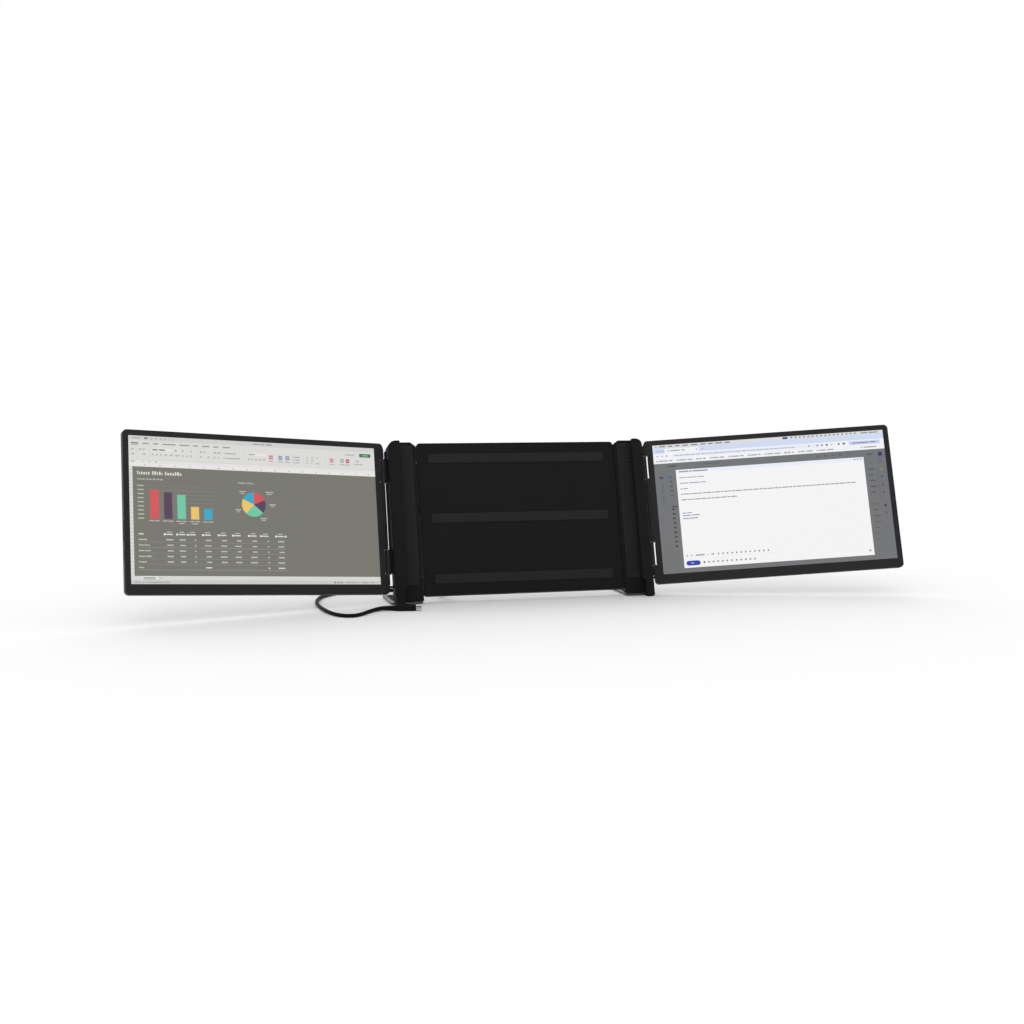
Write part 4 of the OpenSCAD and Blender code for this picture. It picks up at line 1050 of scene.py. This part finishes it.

# %% [markdown]
# ## Hinge cables
# The signal and power for each display cross the gap below the lower barrel in a short
# round cable. In the unit one end is fixed in the arm and the other in the display, and in
# between it bends as the display turns. Here it is one tube along a smooth line, drawn for
# the display's present turn; it is attached to neither body and does not bend.

# %% Hinge cables
CABLE_D, CABLE_Z = 2.8, SCREEN_LIFT + 9.6
for side, flip in SIDES.items():
    turn = Vector((math.cos(SCREEN_TURN), -math.sin(SCREEN_TURN), 0))
    axis = Vector((HINGE_X, HINGE_Y, CABLE_Z))
    stops = [Vector((x, HINGE_Y, CABLE_Z)) for x in (167.6, 170.4)]
    stops += [axis - Vector((2.4, 0, 0)), axis, *(axis + way * turn for way in (2.4, 5.0, 7.4))]
    line = [flip @ LID @ p for p in smooth_line(stops, 5)]
    cable = solid_tube(f"{side}_hinge_cable", line, CABLE_D, CABLE_D)
    cable.data.materials.append(FINISH["lead_jacket"])
    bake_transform(cable)
    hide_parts(f"{side}_cable_sleeve")
    print(cable.name, "faces:", len(cable.data.polygons))

# %% [markdown]
# ## Foot mats
# Each foot plate has a shallow pocket with a thin rubber mat glued into it, which keeps the
# plate from rattling against the arm when it is folded up. The mat is ribbed: its top
# carries a row of raised bars with grooves between them.

# %% Foot mats
MAT_X, MAT_Y, MAT_W, MAT_L, MAT_Z = (138.7, 171.8), (19.5, 67.8), 33.1, 48.3, 2.4
MAT_T, MAT_RIBS, RIB_STEP, RIB = 0.35, 17, 2.52, (27.5, 1.1, 0.3)
for side, flip in SIDES.items():
    mat = round_plate(f"{side}_foot_mat", MAT_W, MAT_L, MAT_T, 2.8, segments=5)
    round_rim("z", MAT_T, 0.12, segments=2)
    mat = place(mat, flip @ Matrix.Translation((sum(MAT_X) / 2, sum(MAT_Y) / 2, MAT_Z)))
    ribs = []
    for i in range(MAT_RIBS):
        rib = block("rib", RIB)
        round_rim("z", RIB[2] / 2, 0.14, segments=2)
        spot = (sum(MAT_X) / 2, MAT_Y[0] + 4.0 + RIB_STEP * i, MAT_Z + 0.38)
        ribs.append(place(rib, flip @ Matrix.Translation(spot)))
    mat = join(f"{side}_foot_mat", [mat, *ribs])
    mat.data.materials.append(FINISH["liner"])
    belongs(mat, f"{side}_foot", "pad")

# %% [markdown]
# ## Gap strips
# The gap between an arm and its display is as wide as the turning display needs, and a wide
# gap would let a bright stripe of the room show next to the picture. Two kinds of rubber
# strip narrow it. One is pressed to the arm's outer wall, behind the barrels, where the
# turning display never comes. The others are flat ones on the display's case: along its
# edge, and along the wall of the notch beside each barrel. Each is a bar that is rounded
# along the rim of its free side.

# %% Gap strips
ARM_WALL, STRIP_OUT, EDGE_OUT, NOTCH_IN, NOTCH_OUT = 171.2, 2.3, 1.2, 5.3, 0.7
FREE_X = ARM_WALL + STRIP_OUT


def strip(low, high, free_x, radius, where):
    """A bar between two corners, rounded along the rim of its free side."""
    size, middle = zip(*((b - a, (a + b) / 2) for a, b in zip(low, high)))
    bar = block("strip", size, middle)
    round_rim("x", free_x, radius)
    return place(bar, where)


for side, flip in SIDES.items():
    on_arm = [strip((ARM_WALL - 0.1, 13.2, a), (FREE_X, 16.6, b), FREE_X, 0.7, flip @ LID)
              for a, b in ((58.9, 145.7), (175.7, 187.0))]
    on_edge = [strip((x - out, 0.7, a), (x + 0.1, 7.7, b), x - out, 0.25, flip @ SCREEN)
               for x, out, runs in ((0, EDGE_OUT, ((12.2, 24.5), (57.7, 141.3), (174.5, 187.2))),
                                    (NOTCH_IN, NOTCH_OUT, ((27.2, 55.0), (144.0, 171.8))))
               for a, b in runs]
    for name, bars, body in (("arm_gap_strip", on_arm, "arm"),
                             ("screen_edge_strip", on_edge, "screen")):
        strips = join(f"{side}_{name}", bars)
        strips.data.materials.append(FINISH["liner"])
        belongs(strips, f"{side}_{body}", "liner")

# %% [markdown]
# ## Screws
# The covers are held by small self-tapping screws with a cross recess. One screw is
# modelled: a low cylinder with a rounded rim and a shank drawn out below, with a tapered
# cross cut into the head by a boolean. Then it is copied to every place, each copy with a
# mesh of its own.

# %% One screw
SHANK_R, CROSS_L, CROSS_W = 1.15, 2.9, 0.72


def screw(head_r, head_t, shank):
    """A screw that stands on its head's underside at z = 0, with its shank below."""
    piece = start("screw", "cylinder", vertices=32, radius=head_r, depth=head_t,
                  location=(0, 0, head_t / 2))
    round_rim("z", head_t, 0.35)
    pick("faces", facing(z=-1))
    bpy.ops.mesh.inset(thickness=head_r - SHANK_R)
    pull(z=-shank)
    bpy.ops.mesh.bevel(offset=0.3, segments=1)
    cutters = []
    for wide, deep in ((CROSS_L, CROSS_W), (CROSS_W, CROSS_L)):
        cutters.append(block("cutter", (wide, deep, 1.2), (0, 0, head_t - 0.1)))
        pick("faces", facing(z=-1))
        scale(0.72, 0.72, 1)
    bpy.ops.object.mode_set(mode="OBJECT")
    bpy.ops.object.select_all(action="DESELECT")
    bpy.context.view_layer.objects.active = piece
    for cutter in cutters:
        cut = piece.modifiers.new("cross", "BOOLEAN")
        cut.operation, cut.object, cut.solver = "DIFFERENCE", cutter, "EXACT"
        bpy.ops.object.modifier_apply(modifier="cross")
        bpy.data.objects.remove(cutter)
    return piece


centre_screw, arm_screw = screw(2.4, 1.2, 8.0), screw(2.4, 1.2, 6.4)
low_screw, leaf_screw = screw(2.4, 1.2, 4.0), screw(2.0, 1.0, 3.2)
print("screw faces:", len(centre_screw.data.polygons))

# %% [markdown]
# The covers' screws look to the back, at right angles to the lid, and the screws of the
# hinge leaves look to the side. Each set of copies becomes one piece.

# %% All screws


def copies(model, places):
    """Copies of a piece at these places, each with a mesh of its own."""
    return [place(put(model.name, model.data.copy()), where) for where in places]


def backwards(x, y, z):
    """A screw's place with its head to the back, in the lid's frame."""
    return LID @ Matrix.Translation((x, y, z)) @ Matrix.Rotation(math.radians(-90), 4, "X")


CENTRE_SPOTS = [(-118, 184), (0, 184), (118, 184), (-118, 64), (118, 64), (-66, 8), (66, 8)]
sets = {"centre_unit": ("back_unit_screws", "centre_screws",
                        copies(centre_screw, [backwards(x, 16.6, z) for x, z in CENTRE_SPOTS]))}
for side, flip in SIDES.items():
    outer = [flip @ backwards(134 + x, 18.6, z) for x in (9, 22) for z in (187, 108)]
    leaves = [flip @ LID @ Matrix.Translation((167.2, 3.6, SCREEN_LIFT + z + 29 * k))
              @ Matrix.Rotation(math.radians(-90), 4, "Y")
              for z in (26.6, 143.4) for k in (0.22, 0.78)]
    made = copies(arm_screw, outer) + copies(low_screw, [flip @ backwards(149, 15.4, 42)])
    sets[f"{side}_arm"] = (f"{side}_arm_fasteners", f"{side}_arm_screws",
                           made + copies(leaf_screw, leaves))
for body, (name, node, made) in sets.items():
    screws = join(name, made)
    screws.data.materials.append(FINISH["screw"])
    belongs(screws, body, "screw", node)
for model in (centre_screw, arm_screw, low_screw, leaf_screw):
    bpy.data.objects.remove(model)
